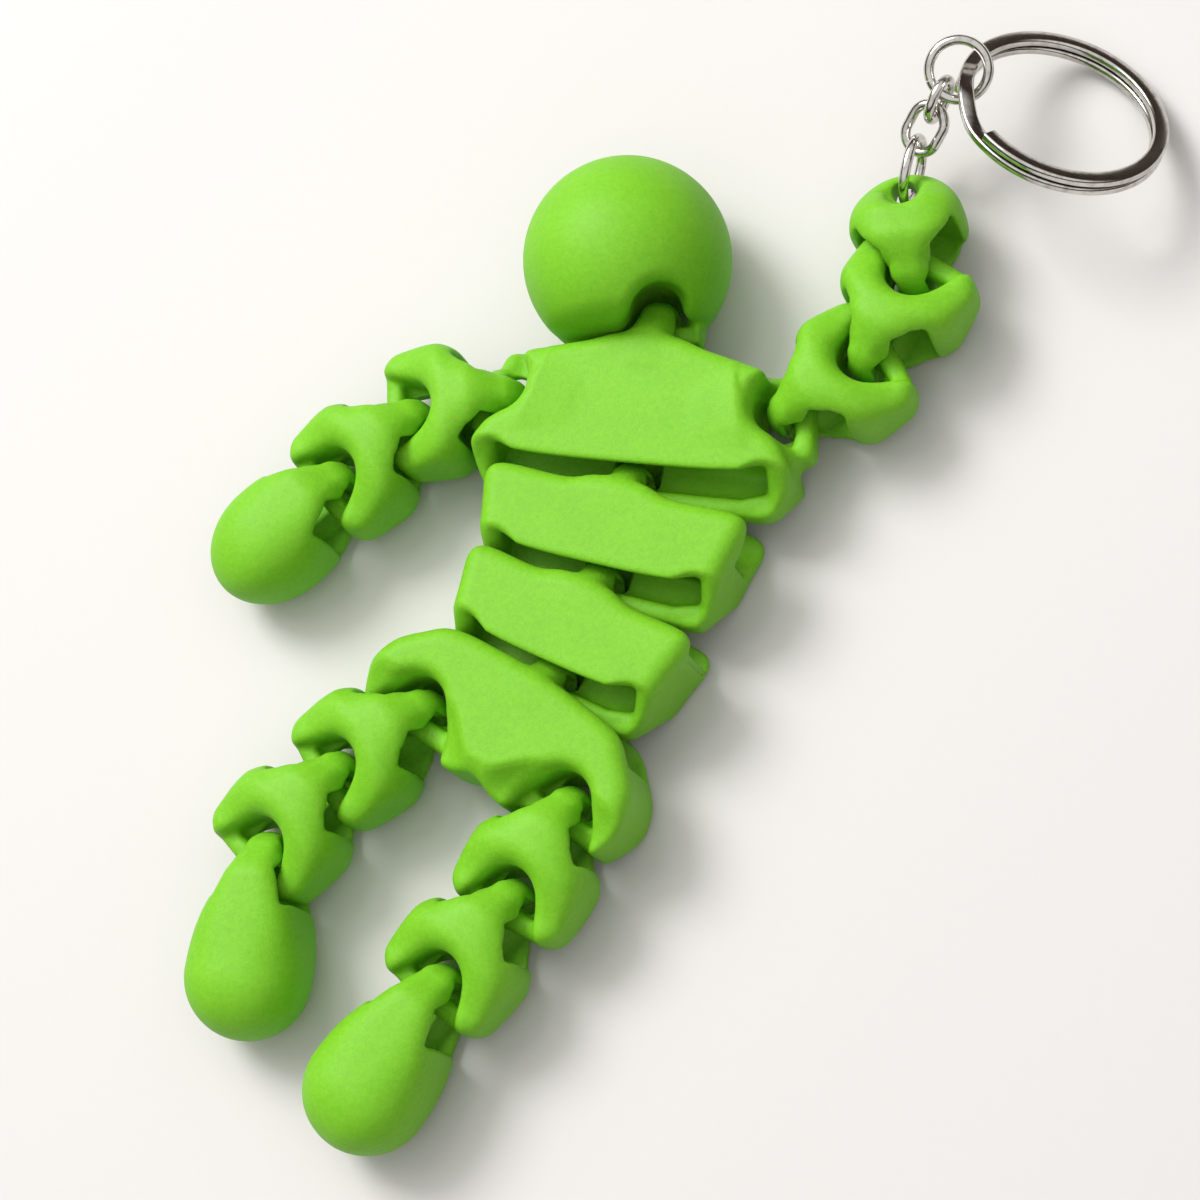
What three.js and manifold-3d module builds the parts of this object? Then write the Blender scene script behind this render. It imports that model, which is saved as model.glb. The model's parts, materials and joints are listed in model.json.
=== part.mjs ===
// Linked toy figure on a key chain, lying on its back. Millimetres, +Z up.
// Every green piece has a narrow loop that goes round the cross bar of its neighbour.
// A piece is built with its loop at the origin, its body along +Y and its mid plane at z = 0.
import * as THREE from "three";
import { mergeVertices } from "three/addons/utils/BufferGeometryUtils.js";
import Module from "manifold-3d";

const wasm = await Module();
wasm.setup();

// Running fit between any two pieces
const CLEARANCE = 0.35;
const FACET_ALLOWANCE = 0.05;

// Joint, shared by all green pieces: the strand of one runs behind the bar of the other
const STRAND_RADIUS = 1.3;
const NECK_HALF_WIDTH = 1.6;
const NECK_HALF_THICK = 3.4;
const BAR_HALF_DEPTH = 1.3;
const BAR_HALF_THICK = 1.7;
const LIMB_BAR_STRAIGHT = 3.2;
const SHOULDER_BAR_STRAIGHT = 2.4;
const HEAD_BAR_STRAIGHT = 3;
const TORSO_BAR_FILLET = 4;
const LIMB_ARCH = { radius: 2.7, spreadDeg: 39 };
const SHOULDER_ARCH = { radius: 2.6, spreadDeg: 31 };
const HEAD_ARCH = { radius: 2.4, spreadDeg: 20 };
const LIMB_BEND_DEG = 37;
const WAIST_BEND_DEG = 10.5;
const HEAD_BEND_DEG = 20;
const BAR_END_SWELL = 0.3;
const BAR_END_FILLET = 1.2;
const BAR_END_THICKER = 0.6;
const STRAND_TAPER_START = 0.6;
const LEG_TIP_PAST_BAR = 0.3;
const LEG_TIP_HALF_THICK = 2.3;
const LEG_TIP_HALF_SPAN = 6.2;
const LEG_ROUND = 3.4;
const TAPER_REACH = 2.6;
const MOUTH_FLARE = 0.22;
const MOUTH_FLARE_START = 4.4;

// Room behind the strand: at each distance from the middle, how far it is taller than the bar needs
const LIMB_ROOM = [[0, 0], [0.8, 0], [1.3, 0.45], [2, 1.35], [4, 1.95], [9, 2.35]];
const CHEST_ROOM = [[0, 0], [0.8, 0], [1.3, 0.45], [2, 1.25], [3.6, 1.15], [7, 0.55], [12, 0.55]];
const WAIST_ROOM = [[0, 0], [0.8, 0], [1.3, 0.25], [2.4, 0.55]];
const WAIST_ROOM_SIDE = { extra: 2.35, start: -5, end: -2, startExtra: 0.95, past: 8 };
const ROOM_NEAR_SLOPE = 4;

// Body thickness, and how high its mid plane lies above the table
const HALF_THICK = 6.7;
const MID_HEIGHT = 6.3;

// Limb links
const LEG_PITCH = 12.3;
const ARM_PITCH = 11.7;
const RAISED_ARM_PITCH = 11.1;
const LIMB_HALF_WIDTH = 7.4;
const FLARE_START = 2.2;
const FLARE_END = 10.2;
const RISE_END = 5.4;
const BLUNT_END = 0.33;
const LIMB_SQUARENESS = 2.5;
const HAND_SQUARENESS = 2.2;
const BAR_SQUARENESS = 3;

// Feet and hands
const FOOT_LENGTH = 22.8;
const FOOT_HALF_WIDTH = 7.2;
const HAND_LENGTH = 19.5;
const HAND_HALF_WIDTH = 6.8;
const RING_HAND_LENGTH = 13.8;
const RING_HAND_HALF_WIDTH = 6.7;
const RING_HAND_TIP_HALF_THICK = 2.6;
const RING_HOLE_RADIUS = 1.4;
const RING_HOLE_WALL = 1.2;
const RING_HOLE_FLARE = 1.6;
const FOOT_MIDDLE_SHARE = 0.68;
const HAND_MIDDLE_SHARE = 0.55;
const RING_HAND_MIDDLE_SHARE = 0.5;

// Head
const HEAD_RADIUS = 12.2;
const HEAD_TO_JOINT = 6.2;
const HEAD_OFFSET = -3.9;
const HEAD_RISE = 2.6;
const HEAD_BAR_REACH = 4.8;
const HEAD_BAR_ROOM_SPAN = 10;
const HEAD_EDGE_HALF_THICK = 2.1;
const HEAD_THIN_END = -1.9;
const HEAD_THIN_LENGTH = 6;

// Torso
const CHEST_LENGTH = 19.6;
const CHEST_HALF_WIDTH = 19.8;
const SHOULDER_HALF_SPAN = 15.9;
const NECK_TO_SHOULDER = 11.4;
const SHOULDER_UP_DEG = 12;
const SHOULDER_RING_HALF_WIDTH = 6;
const WAIST_PITCH = 12.2;
const UPPER_WAIST_HALF_WIDTH = 15.9;
const LOWER_WAIST_HALF_WIDTH = 14.4;
const PELVIS_HALF_WIDTH = 18;
const HIP_HALF_SPAN = 10.4;
const WAIST_TO_HIP = 11.1;
const SLOT_LEG_WIDTH = 2.8;
const EDGE_ROUND = 2.2;

// Metal
const WIRE_RADIUS = 0.6;
const HAND_LINK_RADIUS = 3.35;
const HAND_LINK_STRAIGHT = 0.7;
const HAND_LINK_SEAT = 0.4;
const HAND_LINK_DROP = 0.4;
const LINK_RADIUS = 2.1;
const LINK_STRAIGHT = 1.6;
const SHORT_LINK_STRAIGHT = 0.7;
const RING_LINK_RADIUS = 3.4;
const RING_LINK_SLACK = 0.12;
const KEY_RING_RADIUS = 12.5;
const KEY_RING_BAND = 1.4;
const KEY_RING_WIRE_HEIGHT = 1.2;
const KEY_RING_TURN_GAP = 0.25;
const KEY_RING_STEP_DEG = [325, 355];
const KEY_RING_END_GAP_DEG = 8;
const KEY_RING_TILT_DEG = 36;
const KEY_RING_LEAN_DEG = 45;
const KEY_RING_HOOK_DEG = 164;
const KEY_RING_SEAT = [0.7, -0.5, -0.25];

// Rest pose: how far each joint is bent from straight, anticlockwise seen from above
const CHEST_DIRECTION_DEG = 262;
const HEAD_REST_DEG = 8;
const WAIST_REST_DEG = { upper: -7, lower: -10, pelvis: -8 };
const ARM_REST_DEG = { left: [28, 31, 2], right: [27, 28, 36] };
const LEG_REST_DEG = { left: [-23, 13, 35], right: [2, -8.5, 4] };
const CHAIN_HEADINGS_DEG = [-15, -40, -30, -56];
const CHAIN_RISES_DEG = [17, 32, 30, 14];
const RING_LINK_ROLL_DEG = 28;

// What follows from the sizes above
const ARCH_APEX = STRAND_RADIUS + CLEARANCE + FACET_ALLOWANCE;
const BAR_MIDDLE = ARCH_APEX + BAR_HALF_DEPTH;
const BAR_END = BAR_MIDDLE + BAR_HALF_DEPTH;
const LEG_TIP = BAR_END + LEG_TIP_PAST_BAR;

const PLASTIC = new THREE.MeshStandardMaterial({ color: 0x7ed63a, roughness: 0.6, metalness: 0 });
const CHROME = new THREE.MeshStandardMaterial({ color: 0xd8d8da, roughness: 0.12, metalness: 1 });

const LIMB_SIDES = 14;
const WIRE_SIDES = 5;
const BAR_SIDES = 8;
const HEAD_SIDES = 22;
const BEYOND = 9;
const BEYOND_SIDE = 0.4;

// A closed geometry as a solid
function solid(geometry) {
  const bare = geometry.clone();
  bare.deleteAttribute("normal");
  bare.deleteAttribute("uv");
  const merged = mergeVertices(bare, 1e-4);
  const mesh = new wasm.Mesh({
    numProp: 3,
    vertProperties: Float32Array.from(merged.attributes.position.array),
    triVerts: Uint32Array.from(merged.index.array),
  });
  return new wasm.Manifold(mesh);
}

// A solid as a geometry
function geometryOf(body) {
  const mesh = body.getMesh();
  const geometry = new THREE.BufferGeometry();
  geometry.setAttribute("position", new THREE.BufferAttribute(Float32Array.from(mesh.vertProperties), 3));
  geometry.setIndex(new THREE.BufferAttribute(Uint32Array.from(mesh.triVerts), 1));
  geometry.computeVertexNormals();
  return geometry;
}

// A closed skin over rings of equal point count, each ring clockwise seen along the way
function skin(rings) {
  const count = rings[0].length;
  const points = rings.flat();
  const faces = [];
  for (let i = 0; i + 1 < rings.length; i += 1) {
    for (let j = 0; j < count; j += 1) {
      const next = (j + 1) % count;
      const here = i * count;
      const there = here + count;
      faces.push(here + j, there + j, here + next);
      faces.push(there + j, there + next, here + next);
    }
  }
  for (const far of [false, true]) {
    const start = far ? (rings.length - 1) * count : 0;
    const centre = new THREE.Vector3();
    for (let j = 0; j < count; j += 1) {
      centre.addScaledVector(points[start + j], 1 / count);
    }
    points.push(centre);
    for (let j = 0; j < count; j += 1) {
      const next = (j + 1) % count;
      const pair = far ? [start + next, start + j] : [start + j, start + next];
      faces.push(points.length - 1, ...pair);
    }
  }
  const geometry = new THREE.BufferGeometry().setFromPoints(points);
  geometry.setIndex(faces);
  return geometry;
}

function power(value, exponent) {
  return Math.sign(value) * Math.abs(value) ** exponent;
}

function mix(from, to, t) {
  return from + (to - from) * t;
}

function smooth(t) {
  const s = Math.min(1, Math.max(0, t));
  return s * s * (3 - 2 * s);
}

// Rounded section across a piece, of half width a and half thickness b
function sectionAt(y, a, b, squareness = LIMB_SQUARENESS) {
  return Array.from({ length: LIMB_SIDES }, (_, k) => {
    const t = (2 * Math.PI * k) / LIMB_SIDES;
    return new THREE.Vector3(a * power(Math.cos(t), 2 / squareness), y, b * power(Math.sin(t), 2 / squareness));
  });
}

// Rounded section of something that runs from side to side, from y0 to y1
function sideSectionAt(x, y0, y1, halfThick) {
  return Array.from({ length: BAR_SIDES }, (_, k) => {
    const t = (2 * Math.PI * (k + 0.5)) / BAR_SIDES;
    const y = mix(y0, y1, 0.5 + 0.5 * power(Math.cos(t), 2 / BAR_SQUARENESS));
    return new THREE.Vector3(x, y, -halfThick * power(Math.sin(t), 2 / BAR_SQUARENESS));
  });
}

// Square section of a room that runs from side to side
function roomSectionAt(x, y0, y1, halfThick) {
  return [
    [y1, -halfThick],
    [y0, -halfThick],
    [y0, halfThick],
    [y1, halfThick],
  ].map(([y, z]) => new THREE.Vector3(x, y, z));
}

// Half width and half thickness of the neck, rounded where the strand ends it
const NECK_STATIONS = [-STRAND_RADIUS, -0.7, 0.5, 2.4];

function rounding(past, length) {
  return Math.max(BLUNT_END, Math.sqrt(Math.max(0, 1 - Math.max(0, past / length) ** 2)));
}

function neckWidth(y) {
  return NECK_HALF_WIDTH * rounding(-y, STRAND_RADIUS);
}

function neckThick(y) {
  const rise = smooth((y + STRAND_RADIUS) / (RISE_END + STRAND_RADIUS));
  const round = rounding(STRAND_TAPER_START - y, STRAND_RADIUS + STRAND_TAPER_START);
  return mix(NECK_HALF_THICK, HALF_THICK, rise) * round;
}

// Room for the neighbour's bar and legs as they swing through the bend
function barRoom(rises, bendDeg, tipSpan) {
  const bend = THREE.MathUtils.degToRad(bendDeg);
  const deep = (BAR_END + CLEARANCE) / Math.cos(bend);
  const tipReach = Math.hypot(LEG_TIP, tipSpan) + CLEARANCE;
  const right = rises.map(([x, rise]) => {
    const height = BAR_HALF_THICK + CLEARANCE + rise;
    const along = (LEG_TIP + CLEARANCE + x * Math.sin(bend)) / Math.cos(bend);
    const limit = Math.sqrt(Math.max(deep ** 2, tipReach ** 2 - x ** 2));
    const round = Math.sqrt(Math.max(0, STRAND_RADIUS ** 2 - x ** 2));
    const near = x < STRAND_RADIUS ? round : -BAR_END * smooth((x - STRAND_RADIUS) / ROOM_NEAR_SLOPE);
    return { x, near, far: x > 0 ? Math.min(along, limit) : deep, height };
  });
  const sides = [...right.slice(1).reverse().map((s) => ({ ...s, x: -s.x })), ...right];
  return solid(skin(sides.map((s) => roomSectionAt(s.x, s.near, s.far, s.height))));
}

function limbBarRoom() {
  return barRoom(LIMB_ROOM, LIMB_BEND_DEG, LEG_TIP_HALF_SPAN);
}

function waistBarRoom(tipSpan) {
  const { extra, start, end, startExtra, past } = WAIST_ROOM_SIDE;
  const side = [[tipSpan + start, startExtra], [tipSpan + end, extra], [tipSpan + past, extra]];
  return barRoom([...WAIST_ROOM, ...side], WAIST_BEND_DEG, tipSpan);
}

// Outline of an arch: a round top that opens in a wedge towards +Y
function archOutline({ radius, spreadDeg }) {
  const spread = THREE.MathUtils.degToRad(spreadDeg);
  const centre = radius - ARCH_APEX;
  const far = BEYOND + 3;
  const steps = 4;
  return (flare) => {
    const arc = Array.from({ length: steps + 1 }, (_, k) => {
      const t = mix(spread, Math.PI - spread, k / steps);
      return new THREE.Vector2((radius + flare) * Math.cos(t), centre - (radius + flare) * Math.sin(t));
    });
    const half = arc[0].x + (far - arc[0].y) * Math.tan(spread);
    return [new THREE.Vector2(half, far), ...arc, new THREE.Vector2(-half, far)];
  };
}

// Outline of a wide slot with a gently arched lip
function slotOutline(half) {
  return (flare) => {
    const rise = [0, 0.45, 0.85, 1];
    const spans = [half, 0.94 * half, 0.6 * half, 0.3 * half];
    const right = spans.map((x, k) => new THREE.Vector2(x + 0.4 * flare, mix(-0.2, -ARCH_APEX, rise[k]) - flare));
    const corner = new THREE.Vector2(half + 0.4 * flare, BEYOND);
    const left = [corner, ...right].map((p) => new THREE.Vector2(-p.x, p.y));
    return [corner, ...right, ...left.reverse()];
  };
}

// Cut an outline through the whole thickness, wider at the front and the back
function throughCut(outline, reach) {
  const levels = [-reach, -MOUTH_FLARE_START, MOUTH_FLARE_START, reach];
  const wider = MOUTH_FLARE * (reach - MOUTH_FLARE_START);
  const flares = [wider, 0, 0, wider];
  const rings = levels.map((z, k) => outline(flares[k]).map((p) => new THREE.Vector3(p.x, p.y, z)));
  return solid(skin(rings));
}

// Cross bar between two legs, thicker where it meets them
function crossBar(halfSpan, straight) {
  const stations = [
    [-halfSpan, 1],
    [-straight, 0],
    [straight, 0],
    [halfSpan, 1],
  ];
  const rings = stations.map(([x, swell]) => {
    const near = ARCH_APEX - BAR_END_FILLET * swell;
    const far = BAR_END + BAR_END_SWELL * swell;
    return sideSectionAt(x, near, far, BAR_HALF_THICK + BAR_END_THICKER * swell);
  });
  return solid(skin(rings));
}

// Thin the legs of a socket towards their tips, front and back
function legTaper(halfSpan, endThick) {
  const steps = 4;
  const curve = Array.from({ length: steps + 1 }, (_, k) => {
    const t = k / steps;
    return [mix(-TAPER_REACH, TAPER_REACH, t), mix(endThick, HALF_THICK + CLEARANCE, (1 - t) ** 1.8)];
  });
  const slope = [...curve, [BEYOND, endThick], [BEYOND, BEYOND], [-TAPER_REACH, BEYOND]];
  const front = new THREE.Shape(slope.map(([y, z]) => new THREE.Vector2(-z, y)));
  const geometry = new THREE.ExtrudeGeometry(front, { depth: 2 * halfSpan, bevelEnabled: false });
  geometry.rotateY(Math.PI / 2).translate(-halfSpan, 0, 0);
  const top = solid(geometry);
  return top.add(top.mirror([0, 0, 1]));
}

function placed(body, x, y, turnDeg) {
  return body.rotate([0, 0, turnDeg]).translate([x, y, 0]);
}

// A socket in a body: its joint is at (x, y), and it opens at turnDeg from +Y
function withSocket(body, { x = 0, y, turn = 0, outline, halfSpan, straight, taper, reach = BEYOND }) {
  const cut = throughCut(outline, reach).subtract(crossBar(halfSpan, straight));
  const thinned = taper ? body.subtract(placed(taper, x, y, turn)) : body;
  return thinned.subtract(placed(cut, x, y, turn));
}

// Flat underside where a piece lies on the table
function tableCut(body) {
  const block = new THREE.BoxGeometry(120, 120, 20);
  block.translate(0, 0, -MID_HEIGHT - 10);
  return body.subtract(solid(block));
}

// Half thickness of a ring's legs, by the distance past its joint
function legThick(y) {
  return mix(HALF_THICK, LEG_TIP_HALF_THICK, smooth((y + LEG_ROUND) / (LEG_TIP + LEG_ROUND - 1)));
}

// End of a limb around its joint, from full thickness to the tips of its legs
function ringStations(halfWidth) {
  return [-3, 0.5, 2.6, LEG_TIP - 0.6, LEG_TIP].map((y) => {
    const tip = Math.max(0, 1 - (LEG_TIP - y) / LEG_ROUND);
    return [y, halfWidth * Math.sqrt(1 - tip ** 3 / 2), legThick(y) * Math.sqrt(1 - 0.75 * tip ** 6)];
  });
}

function limbLink(pitch) {
  const body = [...NECK_STATIONS, 4.2, 6, 8].map((y) => {
    const flare = smooth((y - FLARE_START) / (FLARE_END - FLARE_START));
    return [y, mix(neckWidth(y), LIMB_HALF_WIDTH, flare), neckThick(y)];
  });
  const end = ringStations(LIMB_HALF_WIDTH).map(([y, a, b]) => [y + pitch, a, b]);
  const rings = [...body, ...end].filter(([y], k, all) => k === 0 || y > all[k - 1][0] + 0.5);
  const link = withSocket(solid(skin(rings.map(([y, a, b]) => sectionAt(y, a, b)))), {
    y: pitch,
    outline: archOutline(LIMB_ARCH),
    halfSpan: LIMB_HALF_WIDTH + BEYOND_SIDE,
    straight: LIMB_BAR_STRAIGHT,
  });
  return tableCut(link.subtract(limbBarRoom()));
}

// Foot or hand: the neck swells into an egg, which may be thinner towards its end
function egg(length, halfWidth, middleShare, endHalfThick) {
  const middle = middleShare * length;
  const stations = [0.3, 0.62, 1].map((t) => mix(FLARE_START, middle, t));
  const closing = [0.4, 0.68, 0.88, 0.985].map((t) => mix(middle, length, t));
  const rings = [...NECK_STATIONS, ...stations, ...closing].map((y) => {
    const swell = smooth((y - FLARE_START) / (middle - FLARE_START)) ** 0.85;
    const close = Math.sqrt(Math.max(0, 1 - Math.max(0, (y - middle) / (length - middle)) ** 2));
    const thin = smooth((y - 0.6 * middle) / (length - 0.6 * middle));
    const [a, b] = [mix(neckWidth(y), halfWidth, swell), mix(neckThick(y), endHalfThick, thin)];
    return sectionAt(y, a * close, b * close, HAND_SQUARENESS);
  });
  return tableCut(solid(skin(rings)).subtract(limbBarRoom()));
}

// The raised hand, with a hole near its end for the chain
function ringHand() {
  const hand = egg(RING_HAND_LENGTH, RING_HAND_HALF_WIDTH, RING_HAND_MIDDLE_SHARE, RING_HAND_TIP_HALF_THICK);
  const flared = RING_HOLE_RADIUS + RING_HOLE_FLARE;
  const profile = [
    [0, -BEYOND],
    [flared + RING_HOLE_FLARE, -BEYOND],
    [flared, -2 * RING_HOLE_FLARE],
    [RING_HOLE_RADIUS, -RING_HOLE_FLARE],
    [RING_HOLE_RADIUS, RING_HOLE_FLARE],
    [flared, 2 * RING_HOLE_FLARE],
    [flared + RING_HOLE_FLARE, BEYOND],
    [0, BEYOND],
  ];
  const lathe = new THREE.LatheGeometry(profile.map(([r, z]) => new THREE.Vector2(r, z)), 14);
  const hole = solid(lathe.rotateX(Math.PI / 2));
  return hand.subtract(hole.translate([0, holeDistance(), 0]));
}

function holeDistance() {
  return RING_HAND_LENGTH - RING_HOLE_WALL - RING_HOLE_RADIUS;
}

// Flat piece of the torso: half of its outline is given, from the top middle to the bottom middle
function plate(half) {
  const points = half.map(([x, y]) => new THREE.Vector2(x, y));
  const mirrored = points.slice(1, -1).reverse().map((p) => new THREE.Vector2(-p.x, p.y));
  const curve = new THREE.CatmullRomCurve3([...points, ...mirrored].map((p) => new THREE.Vector3(p.x, p.y, 0)), true);
  const outline = curve.getSpacedPoints(38).slice(0, -1);
  const shape = new THREE.Shape(outline.map((p) => new THREE.Vector2(p.x, p.y)));
  const geometry = new THREE.ExtrudeGeometry(shape, {
    depth: 2 * (HALF_THICK - EDGE_ROUND),
    bevelThickness: EDGE_ROUND,
    bevelSize: EDGE_ROUND,
    bevelOffset: -EDGE_ROUND,
    bevelSegments: 2,
  });
  geometry.translate(0, 0, EDGE_ROUND - HALF_THICK);
  return solid(geometry);
}

// Neck that joins a loop to a plate
function neck(length, endHalfWidth) {
  const rings = [...NECK_STATIONS, 3.6, length].map((y) => {
    const flare = smooth((y - 1) / (length - 1));
    return sectionAt(y, mix(neckWidth(y), endHalfWidth, flare), Math.min(neckThick(y), HALF_THICK - 0.3));
  });
  return solid(skin(rings));
}

function chest() {
  const bottom = CHEST_LENGTH + BAR_END;
  const wide = CHEST_HALF_WIDTH;
  const shoulder = NECK_TO_SHOULDER;
  let body = plate([
    [0, 3.6],
    [3.5, 4],
    [7, 5.2],
    [11.6, 6.4],
    [14.2, 7.8],
    [14.4, shoulder],
    [15, shoulder + 4.6],
    [wide - 2.4, shoulder + 6.8],
    [wide - 0.6, CHEST_LENGTH],
    [wide - 2, bottom - 1.4],
    [wide - 4.2, bottom],
    [0, bottom],
  ]);
  body = body.add(neck(8, 4.4));
  body = withSocket(body, {
    y: CHEST_LENGTH,
    outline: slotOutline(wide - EDGE_ROUND - SLOT_LEG_WIDTH),
    halfSpan: wide - EDGE_ROUND - BEYOND_SIDE,
    straight: wide - EDGE_ROUND - BEYOND_SIDE - TORSO_BAR_FILLET,
    taper: legTaper(wide + 2, BAR_HALF_THICK + 0.2),
  });
  for (const side of [-1, 1]) {
    const turn = -side * (90 + SHOULDER_UP_DEG);
    const root = [-BEYOND, SHOULDER_RING_HALF_WIDTH - 2, LEG_TIP_HALF_SPAN - 0.8];
    const ring = solid(skin([root, ...ringStations(SHOULDER_RING_HALF_WIDTH)].map((r) => sectionAt(...r))));
    body = body.add(placed(ring, side * SHOULDER_HALF_SPAN, shoulder, turn));
    body = withSocket(body, {
      x: side * SHOULDER_HALF_SPAN,
      y: shoulder,
      turn,
      outline: archOutline(SHOULDER_ARCH),
      halfSpan: SHOULDER_RING_HALF_WIDTH + BEYOND_SIDE,
      straight: SHOULDER_BAR_STRAIGHT,
    });
  }
  return tableCut(body.subtract(barRoom(CHEST_ROOM, HEAD_BEND_DEG, HEAD_BAR_ROOM_SPAN)));
}

function waistLink(halfWidth, neighbourHalfWidth) {
  const bottom = WAIST_PITCH + BAR_END;
  let body = plate([
    [0, 1.7],
    [3, 1.9],
    [6, 2.8],
    [halfWidth - 1.8, 3.4],
    [halfWidth, 5.2],
    [halfWidth - 0.5, WAIST_PITCH - 3],
    [halfWidth - 1.8, bottom - 1.4],
    [halfWidth - 3.6, bottom],
    [0, bottom],
  ]);
  body = body.add(neck(7, 3.6));
  body = withSocket(body, {
    y: WAIST_PITCH,
    outline: slotOutline(halfWidth - EDGE_ROUND - SLOT_LEG_WIDTH),
    halfSpan: halfWidth - EDGE_ROUND - BEYOND_SIDE,
    straight: halfWidth - EDGE_ROUND - BEYOND_SIDE - TORSO_BAR_FILLET,
    taper: legTaper(halfWidth + 2, BAR_HALF_THICK + 0.2),
  });
  return tableCut(body.subtract(waistBarRoom(neighbourHalfWidth)));
}

function pelvis() {
  const bottom = WAIST_TO_HIP + BAR_END;
  const wide = PELVIS_HALF_WIDTH;
  let body = plate([
    [0, 1.6],
    [5, 1.8],
    [12, 2.8],
    [14.6, 4.8],
    [wide - 1, 7.4],
    [wide, WAIST_TO_HIP],
    [wide - 0.8, bottom - 1.6],
    [wide - 2.8, bottom],
    [HIP_HALF_SPAN, bottom],
    [HIP_HALF_SPAN - 4.4, bottom + 0.4],
    [2.8, bottom + 0.2],
    [0, bottom - 0.8],
  ]);
  body = body.add(neck(7, 3.6));
  for (const side of [-1, 1]) {
    body = withSocket(body, {
      x: side * HIP_HALF_SPAN,
      y: WAIST_TO_HIP,
      outline: archOutline(LIMB_ARCH),
      halfSpan: LIMB_HALF_WIDTH + BEYOND_SIDE,
      straight: LIMB_BAR_STRAIGHT,
      taper: legTaper(2 * wide, LEG_TIP_HALF_THICK),
    });
  }
  return tableCut(body.subtract(waistBarRoom(LOWER_WAIST_HALF_WIDTH)));
}

// The head is a ball, thinned at its lower edge so that it passes behind the chest's front
function head() {
  const lowest = -LEG_TIP;
  const highest = HEAD_TO_JOINT + HEAD_RADIUS;
  const edge = [0, 0.45, 0.9, 1.4, 2, 2.8, 4, 6].map((d) => lowest + d);
  const dome = Array.from({ length: 8 }, (_, k) => mix(edge.at(-1), highest, Math.sin((Math.PI * (k + 1)) / 16)));
  const rings = [...edge, ...dome].map((y) => {
    const chord = Math.sqrt(Math.max(0, HEAD_RADIUS ** 2 - (y - HEAD_TO_JOINT) ** 2));
    const limit = mix(HEAD_EDGE_HALF_THICK, 2 * HEAD_RADIUS, smooth((y - HEAD_THIN_END) / HEAD_THIN_LENGTH));
    const right = Math.max(chord, y < 0 ? HEAD_BAR_REACH - HEAD_OFFSET : 0);
    return Array.from({ length: HEAD_SIDES }, (_, k) => {
      const t = (2 * Math.PI * k) / HEAD_SIDES;
      const x = HEAD_OFFSET + (Math.cos(t) > 0 ? right : chord) * Math.cos(t);
      const z = HEAD_RISE + chord * Math.sin(t);
      return new THREE.Vector3(x, y, Math.sign(z) * Math.min(Math.abs(z), limit));
    });
  });
  const body = withSocket(solid(skin(rings)), {
    y: 0,
    turn: 180,
    outline: archOutline(HEAD_ARCH),
    halfSpan: HEAD_RADIUS,
    straight: HEAD_BAR_STRAIGHT,
    reach: 2 * HEAD_RADIUS,
  });
  return tableCut(body);
}

// Chain link along +Y, flat in the XY plane, round or with straight sides
function chainLink(radius, straight) {
  const segments = 16;
  const torus = new THREE.TorusGeometry(radius, WIRE_RADIUS, WIRE_SIDES, segments);
  torus.rotateZ(Math.PI / segments);
  const place = torus.attributes.position;
  for (let k = 0; k < place.count; k += 1) {
    place.setY(k, place.getY(k) + (Math.sign(place.getY(k)) * straight) / 2);
  }
  return torus;
}

// Split ring: two turns of flat wire, with one step up just before the first turn closes
class SplitRingPath extends THREE.Curve {
  getPoint(t) {
    const [stepStart, stepEnd] = KEY_RING_STEP_DEG.map(THREE.MathUtils.degToRad);
    const whole = 2 * Math.PI + stepStart - THREE.MathUtils.degToRad(KEY_RING_END_GAP_DEG);
    const angle = t * whole;
    const lift = KEY_RING_WIRE_HEIGHT + KEY_RING_TURN_GAP;
    const radius = KEY_RING_RADIUS - KEY_RING_BAND / 2;
    const z = lift * (smooth((angle - stepStart) / (stepEnd - stepStart)) - 0.5);
    return new THREE.Vector3(radius * Math.cos(angle), radius * Math.sin(angle), z);
  }
}

function keyRing() {
  const a = KEY_RING_BAND / 2;
  const b = KEY_RING_WIRE_HEIGHT / 2;
  const corners = [
    [-a, -b],
    [a, -b],
    [a, b],
    [-a, b],
  ];
  const section = new THREE.Shape(corners.map(([x, y]) => new THREE.Vector2(y, x)));
  return new THREE.ExtrudeGeometry(section, { steps: 60, extrudePath: new SplitRingPath(), bevelEnabled: false });
}

function named(name, geometry, material) {
  const mesh = new THREE.Mesh(geometry, material.clone());
  mesh.name = name;
  return mesh;
}

// A joint in the tree of groups: the child turns about +Z by its rest bend
function jointGroup(parent, x, y, turnDeg) {
  const group = new THREE.Group();
  group.position.set(x, y, 0);
  group.rotation.z = THREE.MathUtils.degToRad(turnDeg);
  parent.add(group);
  return group;
}

function attach(parent, name, body, x, y, turnDeg) {
  const group = jointGroup(parent, x, y, turnDeg);
  group.add(named(name, geometryOf(body), PLASTIC));
  return group;
}

function limb(parent, names, bodies, pitch, start, rest) {
  let group = parent;
  let [x, y, turn] = start;
  names.forEach((name, k) => {
    group = attach(group, name, bodies[k], x, y, turn + rest[k]);
    [x, y, turn] = [0, pitch, 0];
  });
  return group;
}

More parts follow.
